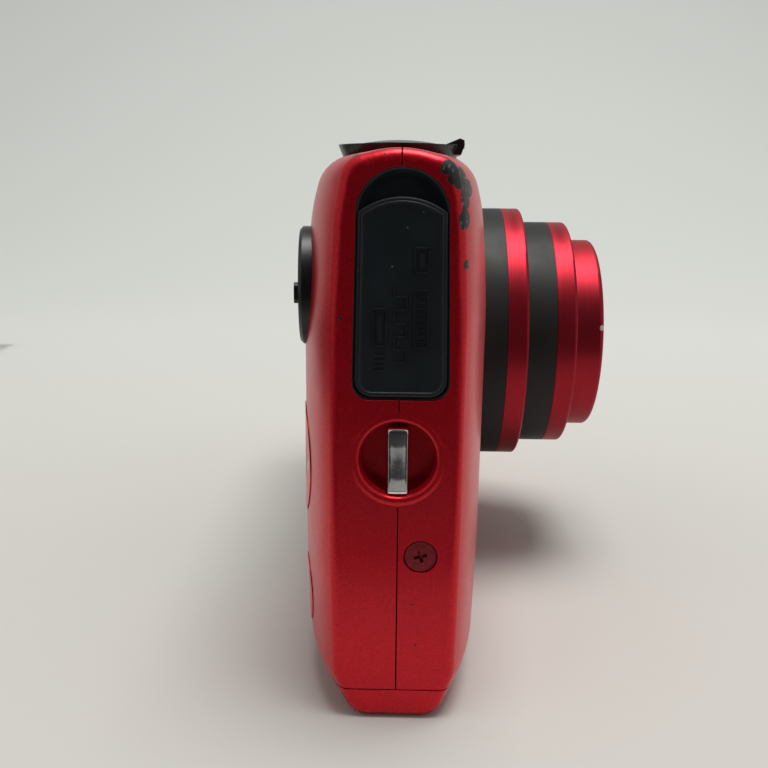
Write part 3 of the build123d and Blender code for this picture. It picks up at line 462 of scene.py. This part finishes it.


# ------------------------------------------------------------------ port door
# Soft black rubber flap pushed into its recess: a thick slab with rounded edges, a hairline lip just inside the
# edge, and raised symbols for the sockets.
rubber = soft_black("door_rubber", (0.0034, 0.0072, 0.0100), 0.50, 1500, 0.016, 0.0, 0.045)
door_low, door_high = (Vector(corner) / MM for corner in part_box("port_door"))
door_y = (door_low.y + door_high.y) / 2
door_face = door_low.x + 0.09
DOOR_SHAPE = (4.2, 3.93, 32.45, 48.95, 50.3, 1.6)
door_rings = []
for inset, lift in ((0.0, 0.93), (0.0, 0.16), (0.04, 0.07), (0.12, 0.02), (0.24, 0.0), (0.34, 0.0),
                    (0.52, 0.0), (0.58, 0.03), (0.70, 0.045), (1.2, 0.045)):
    ring = arch_outline(*DOOR_SHAPE, inset)
    door_rings.append([(door_face + lift, door_y + y, z) for y, z in ring])
port_flap = stacked("port_flap", door_rings)
port_flap.data.materials.append(rubber)
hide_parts("port_door")
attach(port_flap, "flap")


lip_rings = []
for inset, lift in ((0.33, 0.02), (0.36, -0.05), (0.41, -0.07), (0.46, -0.05), (0.49, 0.02)):
    lip_rings.append([(door_face + lift, door_y + y, z) for y, z in arch_outline(*DOOR_SHAPE, inset)])
door_lip = stacked("door_lip", lip_rings, False, False)
# Painted highlight: the lip is a lighter rubber than the door, standing in for the light caught along the door's
# edge.
lip_painted_highlight = soft_black("lip_painted_highlight", (0.013, 0.0175, 0.021), 0.38, 1500, 0.006)
door_lip.data.materials.append(lip_painted_highlight)
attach(door_lip, "flap")


def raised_bars(name, bars, x_face, x_back):
    """Softly rounded raised strokes; each bar is middle y, middle z, width, height."""
    mesh = bpy.data.meshes.new(name)
    build = bmesh.new()
    for y, z, wide, tall in bars:
        outer, top = [], []
        for side_y, side_z in ((-1, -1), (1, -1), (1, 1), (-1, 1)):
            outer.append(build.verts.new([c * MM for c in (x_back, y + side_y * wide / 2, z + side_z * tall / 2)]))
            top.append(build.verts.new([c * MM for c in (x_face, y + side_y * (wide / 2 - 0.03),
                                                         z + side_z * (tall / 2 - 0.03))]))
        build.faces.new(top)
        for k in range(4):
            build.faces.new((outer[k], outer[(k + 1) % 4], top[(k + 1) % 4], top[k]))
    bmesh.ops.recalc_face_normals(build, faces=build.faces)
    build.to_mesh(mesh)
    build.free()
    return link_mesh(name, mesh)


# Plain symbols, read with the camera on its side: a plug outline with a row of contacts in it, a small plug
# outline with a bar in it, a meandering line, and a third plug outline with a bar in it and four short bars beside
# it.
STROKE = 0.2
symbol_bars = []


def box_symbol(y, z, wide, tall):
    """Outline of a socket mouth."""
    for side in (-1, 1):
        symbol_bars.append((y + side * wide / 2, z, STROKE, tall + STROKE))
        symbol_bars.append((y, z + side * tall / 2, wide, STROKE))


box_symbol(door_y - 1.75, 39.6, 1.25, 5.2)
for k in range(9):
    symbol_bars.append((door_y - 1.75, 37.6 + 0.5 * k, 0.6, 0.12))
box_symbol(door_y - 1.75, 44.8, 1.25, 2.2)
symbol_bars.append((door_y - 1.75, 44.8, 0.5, 1.3))
for k in range(6):
    symbol_bars.append((door_y + 0.1, 35.6 + 1.2 * k, 1.1, STROKE))
    symbol_bars.append((door_y + 0.1 + (0.55 if k % 2 else -0.55), 36.2 + 1.2 * k, STROKE, 1.2))
box_symbol(door_y + 1.95, 38.8, 1.15, 3.4)
symbol_bars.append((door_y + 1.95, 38.8, 0.5, 2.3))
for k in range(4):
    symbol_bars.append((door_y + 1.95, 34.9 + 0.45 * k, 0.9, STROKE))
door_symbols = raised_bars("door_symbols", symbol_bars, door_face - 0.08, door_face + 0.03)
worn_rubber = soft_black("worn_rubber", (0.0085, 0.0115, 0.0140), 0.42, 1500, 0.012, 0.0, 0.045)
door_symbols.data.materials.append(worn_rubber)
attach(door_symbols, "flap")


# ------------------------------------------------------------------ rolled rim of the strap recess
# The pressed case is rolled over round the strap recess into a low soft rim, painted with it. The
# rim falls steeply into the recess and dies away gently on the end face.
RIM_CREST, RIM_IN, RIM_OUT = 4.0, 0.5, 0.65
RIM_PROUD, RIM_SUNK, RIM_DEEP = 0.10, 0.03, 0.6
strap_low, strap_high = (Vector(corner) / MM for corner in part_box("strap_bar"))
recess_y, recess_z = (strap_low.y + strap_high.y) / 2, (strap_low.z + strap_high.z) / 2 + 0.3
end_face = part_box("front_shell")[0].x / MM
rim_profile = []
for k in range(7):
    turn = math.radians(15 * k)
    rim_profile.append((RIM_CREST - RIM_IN * math.cos(turn),
                        end_face + RIM_DEEP - (RIM_DEEP + RIM_PROUD) * math.sin(turn)))
for k in range(1, 9):
    fall = 0.5 - 0.5 * math.cos(math.pi * k / 8)
    rim_profile.append((RIM_CREST + RIM_OUT * k / 8, end_face - RIM_PROUD + (RIM_PROUD + RIM_SUNK) * fall))
rim_rings = [[(x, recess_y + radius * math.cos(math.radians(a)), recess_z + radius * math.sin(math.radians(a)))
              for a in range(0, 360, 5)] for radius, x in rim_profile]
strap_rim = stacked("strap_rim", rim_rings, False, False)
strap_rim.data.materials.append(paint)
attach(strap_rim, "root")


# ------------------------------------------------------------------ strap bar and end screw
# The strap bar is a narrow steel strip bent at both ends into the case and chrome plated. The screw beside it is
# painted a darker red than the case, with a fine turned grain.
bar_low, bar_high = (Vector(corner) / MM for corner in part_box("strap_bar"))
bar_y = (bar_low.y + bar_high.y) / 2
half_wide = (bar_high.y - bar_low.y) / 2
bar_face, thick = bar_low.x, 0.72
BAR_BEND = 0.62    # outside radius of the bend at each end
bar_path = [(bar_high.x, bar_high.z), (bar_face + BAR_BEND, bar_high.z)] + [
    (bar_face + BAR_BEND - BAR_BEND * math.sin(math.radians(t)),
     bar_high.z - BAR_BEND + BAR_BEND * math.cos(math.radians(t)))
    for t in range(15, 91, 15)]
bar_path += [(bar_face + 0.05, bar_high.z - 2.0), (bar_face + 0.08, (bar_low.z + bar_high.z) / 2),
             (bar_face + 0.05, bar_low.z + 2.0)]
bar_path += [(bar_face + BAR_BEND - BAR_BEND * math.cos(math.radians(t)),
              bar_low.z + BAR_BEND - BAR_BEND * math.sin(math.radians(t)))
             for t in range(0, 91, 15)] + [(bar_high.x, bar_low.z)]
bar_rings = []
for k, (x, z) in enumerate(bar_path):
    ahead = bar_path[min(k + 1, len(bar_path) - 1)]
    behind = bar_path[max(k - 1, 0)]
    along = Vector((ahead[0] - behind[0], ahead[1] - behind[1])).normalized()
    inward = Vector((-along.y, along.x))
    pinch = 1.0 - 0.06 * math.exp(-((k - len(bar_path) / 2) / 5) ** 2)
    ring = []
    for across, deep in ((-1, 0.10), (-0.965, 0.03), (-0.9, 0.0), (0.9, 0.0), (0.965, 0.03), (1, 0.10),
                         (1, thick), (-1, thick)):
        ring.append((x + inward.x * deep, bar_y + across * half_wide * pinch, z + inward.y * deep))
    bar_rings.append(ring)
strap_strip = stacked("strap_strip", bar_rings)
chrome, n, l, shader = new_material("chrome_plate", (0.82, 0.82, 0.80), 0.12, 1.0)
place = node(n, "ShaderNodeTexCoord").outputs["Object"]
scuffs = mottle(n, l, place, 900, 6.0)
l.new(sums(n, l, "MULTIPLY_ADD", scuffs, 0.12, 0.03), shader.inputs["Roughness"])
l.new(ramp(n, l, scuffs, ((0.3, (0.60, 0.61, 0.62)), (0.6, (0.86, 0.86, 0.84)))),
      shader.inputs["Base Color"])
bump_from(n, l, shader, mottle(n, l, place, 500, 5.0), 0.008, 0.5)
strap_strip.data.materials.append(chrome)
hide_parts("strap_bar")
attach(strap_strip, "root")

screw_paint, n, l, shader = new_material("screw_paint", None, 0.38, 0.3)
place = node(n, "ShaderNodeTexCoord").outputs["Object"]
turned = mottle(n, l, place, 2500, 5.0)
l.new(ramp(n, l, turned, ((0.25, (0.14, 0.004, 0.008)), (0.7, (0.34, 0.010, 0.018)))),
      shader.inputs["Base Color"])
bump_from(n, l, shader, turned, 0.02, 0.6, 0.06)
dress(("case_screws",), screw_paint)


# ------------------------------------------------------------------ zoom lever and shutter button
# Gloss black moulded ring with a ribbed front tab, turning round a black-plated shutter button
# whose shallow dome is finished with fine turned circles.
gloss_black, n, l, shader = new_material("gloss_black", (0.012, 0.012, 0.013), 0.2)
place = node(n, "ShaderNodeTexCoord").outputs["Object"]
handled = mottle(n, l, place, 420, 5.0)
l.new(ramp(n, l, handled, ((0.35, (0.010, 0.010, 0.011)), (0.75, (0.028, 0.027, 0.027)))),
      shader.inputs["Base Color"])
l.new(sums(n, l, "MULTIPLY_ADD", handled, 0.25, 0.16), shader.inputs["Roughness"])
bump_from(n, l, shader, mottle(n, l, place, 2400, 2.0), 0.004, 0.5, 0.18)
dress(("zoom_lever", "power_button"), gloss_black)

lever_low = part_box("zoom_lever")[0] / MM
shutter_low, shutter_high = (Vector(corner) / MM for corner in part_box("shutter_button"))
shutter_at = ((shutter_low.x + shutter_high.x) / 2, (shutter_low.y + shutter_high.y) / 2)


def turned_finish(name, colour_low, colour_high, rough, centre, axis, pitch, depth, metal=1.0):
    """Metal with fine circles turned about an axis; centre in millimetres, pitch is circles per metre."""
    made, n, l, shader = new_material(name, None, rough, metal)
    place = node(n, "ShaderNodeTexCoord").outputs["Object"]
    moved = node(n, "ShaderNodeVectorMath", operation="SUBTRACT")
    l.new(place, moved.inputs[0])
    moved.inputs[1].default_value = [c * MM for c in centre]
    flat = node(n, "ShaderNodeVectorMath", operation="MULTIPLY")
    l.new(moved.outputs[0], flat.inputs[0])
    flat.inputs[1].default_value = [0.0 if k == axis else 1.0 for k in range(3)]
    radius = node(n, "ShaderNodeVectorMath", operation="LENGTH")
    l.new(flat.outputs[0], radius.inputs[0])
    circles = node(n, "ShaderNodeTexNoise", noise_dimensions="1D")
    circles.inputs["Scale"].default_value = pitch
    circles.inputs["Detail"].default_value = 2.0
    l.new(radius.outputs["Value"], circles.inputs["W"])
    l.new(ramp(n, l, circles.outputs["Fac"], ((0.25, colour_low), (0.75, colour_high))),
          shader.inputs["Base Color"])
    bump_from(n, l, shader, circles.outputs["Fac"], depth, 0.6, 0.08)
    return made


dress(("shutter_button",), turned_finish("black_plate", (0.02, 0.02, 0.022), (0.06, 0.06, 0.062), 0.26,
                                         (*shutter_at, 0), 2, 9000, 0.006))

grip_ribs = []
for k in range(5):
    grip_ribs.append((shutter_at[0] - 2.0 + k, lever_low.y + 0.12, 0.35))
mesh = bpy.data.meshes.new("lever_ribs")
build = bmesh.new()
for x, y, wide in grip_ribs:
    around = [build.verts.new([c * MM for c in (x + wide * math.cos(t), y + 0.12 * math.sin(t), z)])
              for z in (54.9, 55.7) for t in (math.radians(k * 45) for k in range(8))]
    for k in range(8):
        build.faces.new((around[k], around[(k + 1) % 8], around[8 + (k + 1) % 8], around[8 + k])).smooth = True
    build.faces.new(around[8:])
    build.faces.new(around[:8][::-1])
build.to_mesh(mesh)
build.free()
lever_ribs = link_mesh("lever_ribs", mesh)
lever_ribs.data.materials.append(gloss_black)
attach(lever_ribs, "lever")


# ------------------------------------------------------------------ mode switch
# Satin black moulded disc with a small nub, let into the rear shoulder. Plain marks are printed
# on it for its positions.
satin_black = soft_black("satin_black", (0.006, 0.007, 0.0075), 0.36, 2600, 0.006, 0.15)
dress(("pad_gimbal",), satin_black)


def marked(material, name, marks, ink, size=0.22):
    """Copy of a finish with small printed marks; each mark is x, z, half width, half height."""
    made = material.copy()
    made.name = name
    n, l = made.node_tree.nodes, made.node_tree.links
    shader = n["Principled BSDF"]
    place = node(n, "ShaderNodeTexCoord").outputs["Object"]
    inked = None
    for x, z, wide, tall in marks:
        spot = sums(n, l, "GREATER_THAN", blob(n, l, place, (x, 9.5, z), (wide, 30.0, tall)), size * 0.2)
        inked = spot if inked is None else sums(n, l, "MAXIMUM", inked, spot)
    under = shader.inputs["Base Color"].links[0].from_socket
    l.new(blend_colour(n, l, inked, under, ink), shader.inputs["Base Color"])
    return made


mode_low, mode_high = (Vector(corner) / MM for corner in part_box("mode_switch"))
mode_at = ((mode_low.x + mode_high.x) / 2, (mode_low.z + mode_high.z) / 2)
PRINT_WHITE = (0.62, 0.62, 0.60)
MARK_RING, MARK_DOT = 3.4, 0.42
mode_marks = [(mode_at[0] + MARK_RING * math.cos(math.radians(t)),
               mode_at[1] + MARK_RING * math.sin(math.radians(t)), MARK_DOT, MARK_DOT)
              for t in (-50, 0, 50)]
dress(("mode_switch",), marked(satin_black, "mode_print", mode_marks, PRINT_WHITE))


# ------------------------------------------------------------------ red metal: lens trim, pad, buttons
# Turned aluminium anodised red. The tool left fine circles round each ring, and the front rim of
# the inner barrel has a small bright nick.
lens_low, lens_high = (Vector(corner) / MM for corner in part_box("inner_barrel"))
axis_x, axis_z = (lens_low.x + lens_high.x) / 2, (lens_low.z + lens_high.z) / 2
NICK = ((axis_x - 12.9, lens_low.y + 0.35, axis_z + 2.6), (1.2, 0.28, 0.35))


def anodised(name, rough):
    """Red anodised turned aluminium: streaks run round the lens axis."""
    made, n, l, shader = new_material(name, None, rough, 1.0)
    place = node(n, "ShaderNodeTexCoord").outputs["Object"]
    parts = node(n, "ShaderNodeSeparateXYZ")
    l.new(place, parts.inputs[0])
    rings = node(n, "ShaderNodeTexNoise", noise_dimensions="1D")
    rings.inputs["Scale"].default_value = 6500
    rings.inputs["Detail"].default_value = 3.0
    l.new(parts.outputs["Y"], rings.inputs["W"])
    cloudy = mottle(n, l, place, 160, 3.0)
    mixed = sums(n, l, "MULTIPLY_ADD", cloudy, 0.35, sums(n, l, "MULTIPLY", rings.outputs["Fac"], 0.65))
    colour = ramp(n, l, mixed, ((0.3, (0.29, 0.014, 0.024)), (0.7, (0.42, 0.027, 0.042))))
    bare = sums(n, l, "GREATER_THAN", blob(n, l, place, *NICK), 0.0)
    l.new(blend_colour(n, l, bare, colour, (0.75, 0.55, 0.42)), shader.inputs["Base Color"])
    l.new(sums(n, l, "MULTIPLY_ADD", cloudy, 0.12, rough - 0.06), shader.inputs["Roughness"])
    bump_from(n, l, shader, rings.outputs["Fac"], 0.004, 0.6, 0.12)
    shader.inputs["Anisotropic"].default_value = 0.35
    return made


lens_red = anodised("lens_red", 0.44)
dress(("outer_trim_ring", "middle_trim_ring", "inner_barrel"), lens_red)
button_red = anodised("button_red", 0.34)
dress(("set_button",), button_red)
pad_low, pad_high = (Vector(corner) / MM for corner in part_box("control_pad"))
pad_at = ((pad_low.x + pad_high.x) / 2, (pad_low.z + pad_high.z) / 2)
pad_marks = [(pad_at[0] + 4.1 * a, pad_at[1] + 4.1 * b, 0.34 + 0.3 * abs(b), 0.34 + 0.3 * abs(a))
             for a, b in ((1, 0), (-1, 0), (0, 1), (0, -1))]
dress(("control_pad",), marked(paint, "pad_print", pad_marks, PRINT_WHITE))
for name in ("menu_button", "playback_button"):
    low, high = (Vector(corner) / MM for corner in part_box(name))
    across, height = (low.x + high.x) / 2, (low.z + high.z) / 2
    lines = [(across, height + 0.7 * k, 1.3, 0.17) for k in (-1, 0, 1)]
    steps = [(across + 0.7 * k, height, 0.24, 1.0 - 0.3 * k) for k in (-1, 0, 1)]
    bars = lines if name == "menu_button" else steps
    dress((name,), marked(paint, name + "_print", bars, PRINT_WHITE))

barrel_black = soft_black("barrel_black", (0.008, 0.0085, 0.0085), 0.52, 1700, 0.008)
barrel_black.node_tree.nodes["Principled BSDF"].inputs["Specular IOR Level"].default_value = 0.34
dress(("outer_barrel", "middle_barrel"), barrel_black)


# ------------------------------------------------------------------ front of the lens
# A turned black ring holds the coated front glass; two thin blades shut in front of it when the
# lens is in. Behind it sit the zoom group, the shutter and the focus lens, all moving glass.
dress(("front_ring",), turned_finish("black_ring", (0.006, 0.006, 0.007), (0.016, 0.016, 0.017), 0.36,
                                     (axis_x, 0, axis_z), 1, 5200, 0.02, 0.0))
dress(("lens_bezel",), turned_finish("bezel_black", (0.010, 0.010, 0.011), (0.024, 0.024, 0.025), 0.3,
                                     (axis_x, 0, axis_z), 1, 3000, 0.01, 0.3))


def coated_glass(name, colour, rough):
    """Clear optical glass with a thin coloured coating and a breath of dust."""
    made, n, l, shader = new_material(name, colour, rough)
    place = node(n, "ShaderNodeTexCoord").outputs["Object"]
    l.new(ramp(n, l, mottle(n, l, place, 700, 5.0), ((0.4, colour), (0.9, tuple(c * 0.9 for c in colour)))),
          shader.inputs["Base Color"])
    bump_from(n, l, shader, mottle(n, l, place, 300), 0.002, 0.2)
    shader.inputs["Transmission Weight"].default_value = 1.0
    shader.inputs["IOR"].default_value = 1.62
    shader.inputs["Thin Film Thickness"].default_value = 280.0
    shader.inputs["Thin Film IOR"].default_value = 1.38
    return made


optic = coated_glass("coated_optic", (0.90, 0.93, 0.97), 0.02)
dress(("front_lens", "zoom_group"), optic)
dress(("upper_blade", "lower_blade", "shutter_unit", "focus_carriage", "fixed_tube", "cam_ring"), satin_black)


# ------------------------------------------------------------------ flash and focus lamp
# The flash has a clear moulded window with fine upright ribs over a bright folded reflector; the
# focus lamp is a small clear amber lens.
flash_clear, n, l, shader = new_material("flash_clear", (0.93, 0.94, 0.93), 0.05)
place = node(n, "ShaderNodeTexCoord").outputs["Object"]
ribs = node(n, "ShaderNodeTexWave", wave_type="BANDS", bands_direction="X")
ribs.inputs["Scale"].default_value = 420
l.new(place, ribs.inputs["Vector"])
bump_from(n, l, shader, ribs.outputs["Color"], 0.12, 0.8, 0.15)
l.new(ramp(n, l, mottle(n, l, place, 500, 4.0), ((0.3, (0.90, 0.91, 0.90)), (0.8, (0.96, 0.96, 0.95)))),
      shader.inputs["Base Color"])
shader.inputs["Transmission Weight"].default_value = 0.9
dress(("flash_window",), flash_clear)


def brushed(name, dark, light, rough, along, scale=1800, depth=0.006):
    """Bare or plated metal with a fine brushed grain along one axis."""
    made, n, l, shader = new_material(name, None, rough, 1.0)
    place = node(n, "ShaderNodeTexCoord").outputs["Object"]
    drawn = node(n, "ShaderNodeVectorMath", operation="MULTIPLY")
    l.new(place, drawn.inputs[0])
    drawn.inputs[1].default_value = [0.04 if k == along else 1.0 for k in range(3)]
    lines = mottle(n, l, drawn.outputs[0], scale, 3.0)
    l.new(ramp(n, l, lines, ((0.3, dark), (0.7, light))), shader.inputs["Base Color"])
    l.new(sums(n, l, "MULTIPLY_ADD", lines, 0.2, rough - 0.1), shader.inputs["Roughness"])
    bump_from(n, l, shader, lines, depth, 0.5, 0.08)
    return made


reflector = brushed("reflector", (0.72, 0.72, 0.70), (0.88, 0.88, 0.86), 0.16, 0)
dress(("flash_lamp",), reflector)
amber = coated_glass("amber_lens", (0.95, 0.62, 0.30), 0.05)
dress(("focus_lamp",), amber)


# ------------------------------------------------------------------ screen
# The rear window is one gloss sheet, printed black round its edge, over the dull dark display.
screen_low, screen_high = (Vector(corner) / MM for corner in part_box("screen_window"))
screen_gloss, n, l, shader = new_material("screen_gloss", None, 0.06)
place = node(n, "ShaderNodeTexCoord").outputs["Object"]
middle = (screen_low + screen_high) / 2
offset = node(n, "ShaderNodeVectorMath", operation="SUBTRACT")
l.new(place, offset.inputs[0])
offset.inputs[1].default_value = middle * MM
sides = node(n, "ShaderNodeVectorMath", operation="ABSOLUTE")
l.new(offset.outputs[0], sides.inputs[0])
parts = node(n, "ShaderNodeSeparateXYZ")
l.new(sides.outputs[0], parts.inputs[0])
within = sums(n, l, "MULTIPLY",
              sums(n, l, "LESS_THAN", parts.outputs["X"], ((screen_high.x - screen_low.x) / 2 - 2.4) * MM),
              sums(n, l, "LESS_THAN", parts.outputs["Z"], ((screen_high.z - screen_low.z) / 2 - 1.9) * MM))
lit_area = ramp(n, l, mottle(n, l, place, 60), ((0.2, (0.013, 0.015, 0.019)), (0.8, (0.020, 0.022, 0.026))))
l.new(blend_colour(n, l, within, (0.0035, 0.0035, 0.004), lit_area), shader.inputs["Base Color"])
smears = mottle(n, l, place, 110, 6.0)
l.new(sums(n, l, "MULTIPLY_ADD", smears, 0.16, 0.0), shader.inputs["Roughness"])
bump_from(n, l, shader, mottle(n, l, place, 35), 0.004, 0.4, 0.1)
shader.inputs["Coat Weight"].default_value = 0.4
dress(("screen_window",), screen_gloss)
dress(("display_panel",), brushed("display_back", (0.30, 0.31, 0.32), (0.42, 0.43, 0.44), 0.4, 2))


# ------------------------------------------------------------------ battery door, latch and tripod socket
# The battery door is pressed and painted like the case and swings on a steel pin; a black sliding
# latch with ridges locks it. The tripod socket is a threaded steel bush.
dress(("battery_door",), paint)
latch_black, n, l, shader = new_material("latch_black", (0.008, 0.008, 0.009), 0.45)
place = node(n, "ShaderNodeTexCoord").outputs["Object"]
ridges = node(n, "ShaderNodeTexWave", wave_type="BANDS", bands_direction="X")
ridges.inputs["Scale"].default_value = 330
l.new(place, ridges.inputs["Vector"])
# Painted shade: the colour is darker in the grooves between the ridges.
l.new(ramp(n, l, ridges.outputs["Color"], ((0.2, (0.004, 0.004, 0.005)), (0.8, (0.014, 0.014, 0.015)))),
      shader.inputs["Base Color"])
bump_from(n, l, shader, ridges.outputs["Color"], 0.25, 0.9)
dress(("door_latch",), latch_black)
threaded, n, l, shader = new_material("threaded_steel", None, 0.3, 1.0)
place = node(n, "ShaderNodeTexCoord").outputs["Object"]
thread = node(n, "ShaderNodeTexWave", wave_type="BANDS", bands_direction="Z")
thread.inputs["Scale"].default_value = 248
l.new(place, thread.inputs["Vector"])
# Painted shade: the steel is coloured darker in the grooves of the thread.
l.new(ramp(n, l, thread.outputs["Color"], ((0.1, (0.25, 0.25, 0.26)), (0.7, (0.62, 0.62, 0.63)))),
      shader.inputs["Base Color"])
bump_from(n, l, shader, thread.outputs["Color"], 0.35, 0.9)
dress(("tripod_socket",), threaded)


# ------------------------------------------------------------------ inside: frames, boards, cell and card
# Stamped steel frames, green boards with fine copper tracks, a wrapped battery cell in its black
# bay, a steel card slot with its card, a small motor with an acetal pinion, and gold contacts.
steel = brushed("stamped_steel", (0.42, 0.42, 0.43), (0.60, 0.60, 0.61), 0.3, 0)
dress(("av_socket", "hdmi_socket", "card_slot", "chassis_plate", "door_pin", "focus_rails",
       "sensor_plate"), steel)
dress(("flash_capacitor", "speaker", "microphone", "zoom_motor"),
      brushed("drawn_aluminium", (0.58, 0.58, 0.59), (0.72, 0.72, 0.73), 0.34, 2))
dress(("battery_contacts",), brushed("gold_plate", (0.62, 0.42, 0.14), (0.80, 0.58, 0.24), 0.25, 0))

board, n, l, shader = new_material("board_green", None, 0.38)
place = node(n, "ShaderNodeTexCoord").outputs["Object"]
tracks = node(n, "ShaderNodeTexBrick")
tracks.inputs["Scale"].default_value = 420
tracks.inputs["Mortar Size"].default_value = 0.06
turned_over = node(n, "ShaderNodeSeparateXYZ")
l.new(place, turned_over.inputs[0])
facing = node(n, "ShaderNodeCombineXYZ")
l.new(turned_over.outputs["X"], facing.inputs["X"])
l.new(sums(n, l, "ADD", turned_over.outputs["Z"], turned_over.outputs["Y"]), facing.inputs["Y"])
l.new(facing.outputs[0], tracks.inputs["Vector"])
l.new(ramp(n, l, tracks.outputs["Fac"], ((0.0, (0.010, 0.090, 0.035)), (1.0, (0.030, 0.20, 0.075)))),
      shader.inputs["Base Color"])
bump_from(n, l, shader, tracks.outputs["Fac"], 0.03, 0.6)
dress(("main_board", "button_board", "top_board"), board)

cell_wrap = soft_black("cell_wrap", (0.035, 0.038, 0.045), 0.4, 1200, 0.01, 0.2)
dress(("battery",), cell_wrap)
dress(("battery_bay", "memory_card", "dome_sheet"), moulded_black)
sensor_glass, n, l, shader = new_material("sensor_glass", None, 0.12)
place = node(n, "ShaderNodeTexCoord").outputs["Object"]
l.new(ramp(n, l, mottle(n, l, place, 400), ((0.3, (0.10, 0.12, 0.13)), (0.7, (0.20, 0.17, 0.22)))),
      shader.inputs["Base Color"])
shader.inputs["Coat Weight"].default_value = 0.8
dress(("image_sensor",), sensor_glass)
acetal, n, l, shader = new_material("natural_acetal", None, 0.42)
place = node(n, "ShaderNodeTexCoord").outputs["Object"]
l.new(ramp(n, l, mottle(n, l, place, 500, 3.0), ((0.3, (0.66, 0.64, 0.58)), (0.7, (0.78, 0.76, 0.70)))),
      shader.inputs["Base Color"])
bump_from(n, l, shader, mottle(n, l, place, 1500), 0.01, 0.4, 0.05)
shader.inputs["Subsurface Weight"].default_value = 0.1
shader.inputs["Subsurface Scale"].default_value = 0.001
dress(("zoom_pinion",), acetal)


# ------------------------------------------------------------------ extent of the object
low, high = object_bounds()
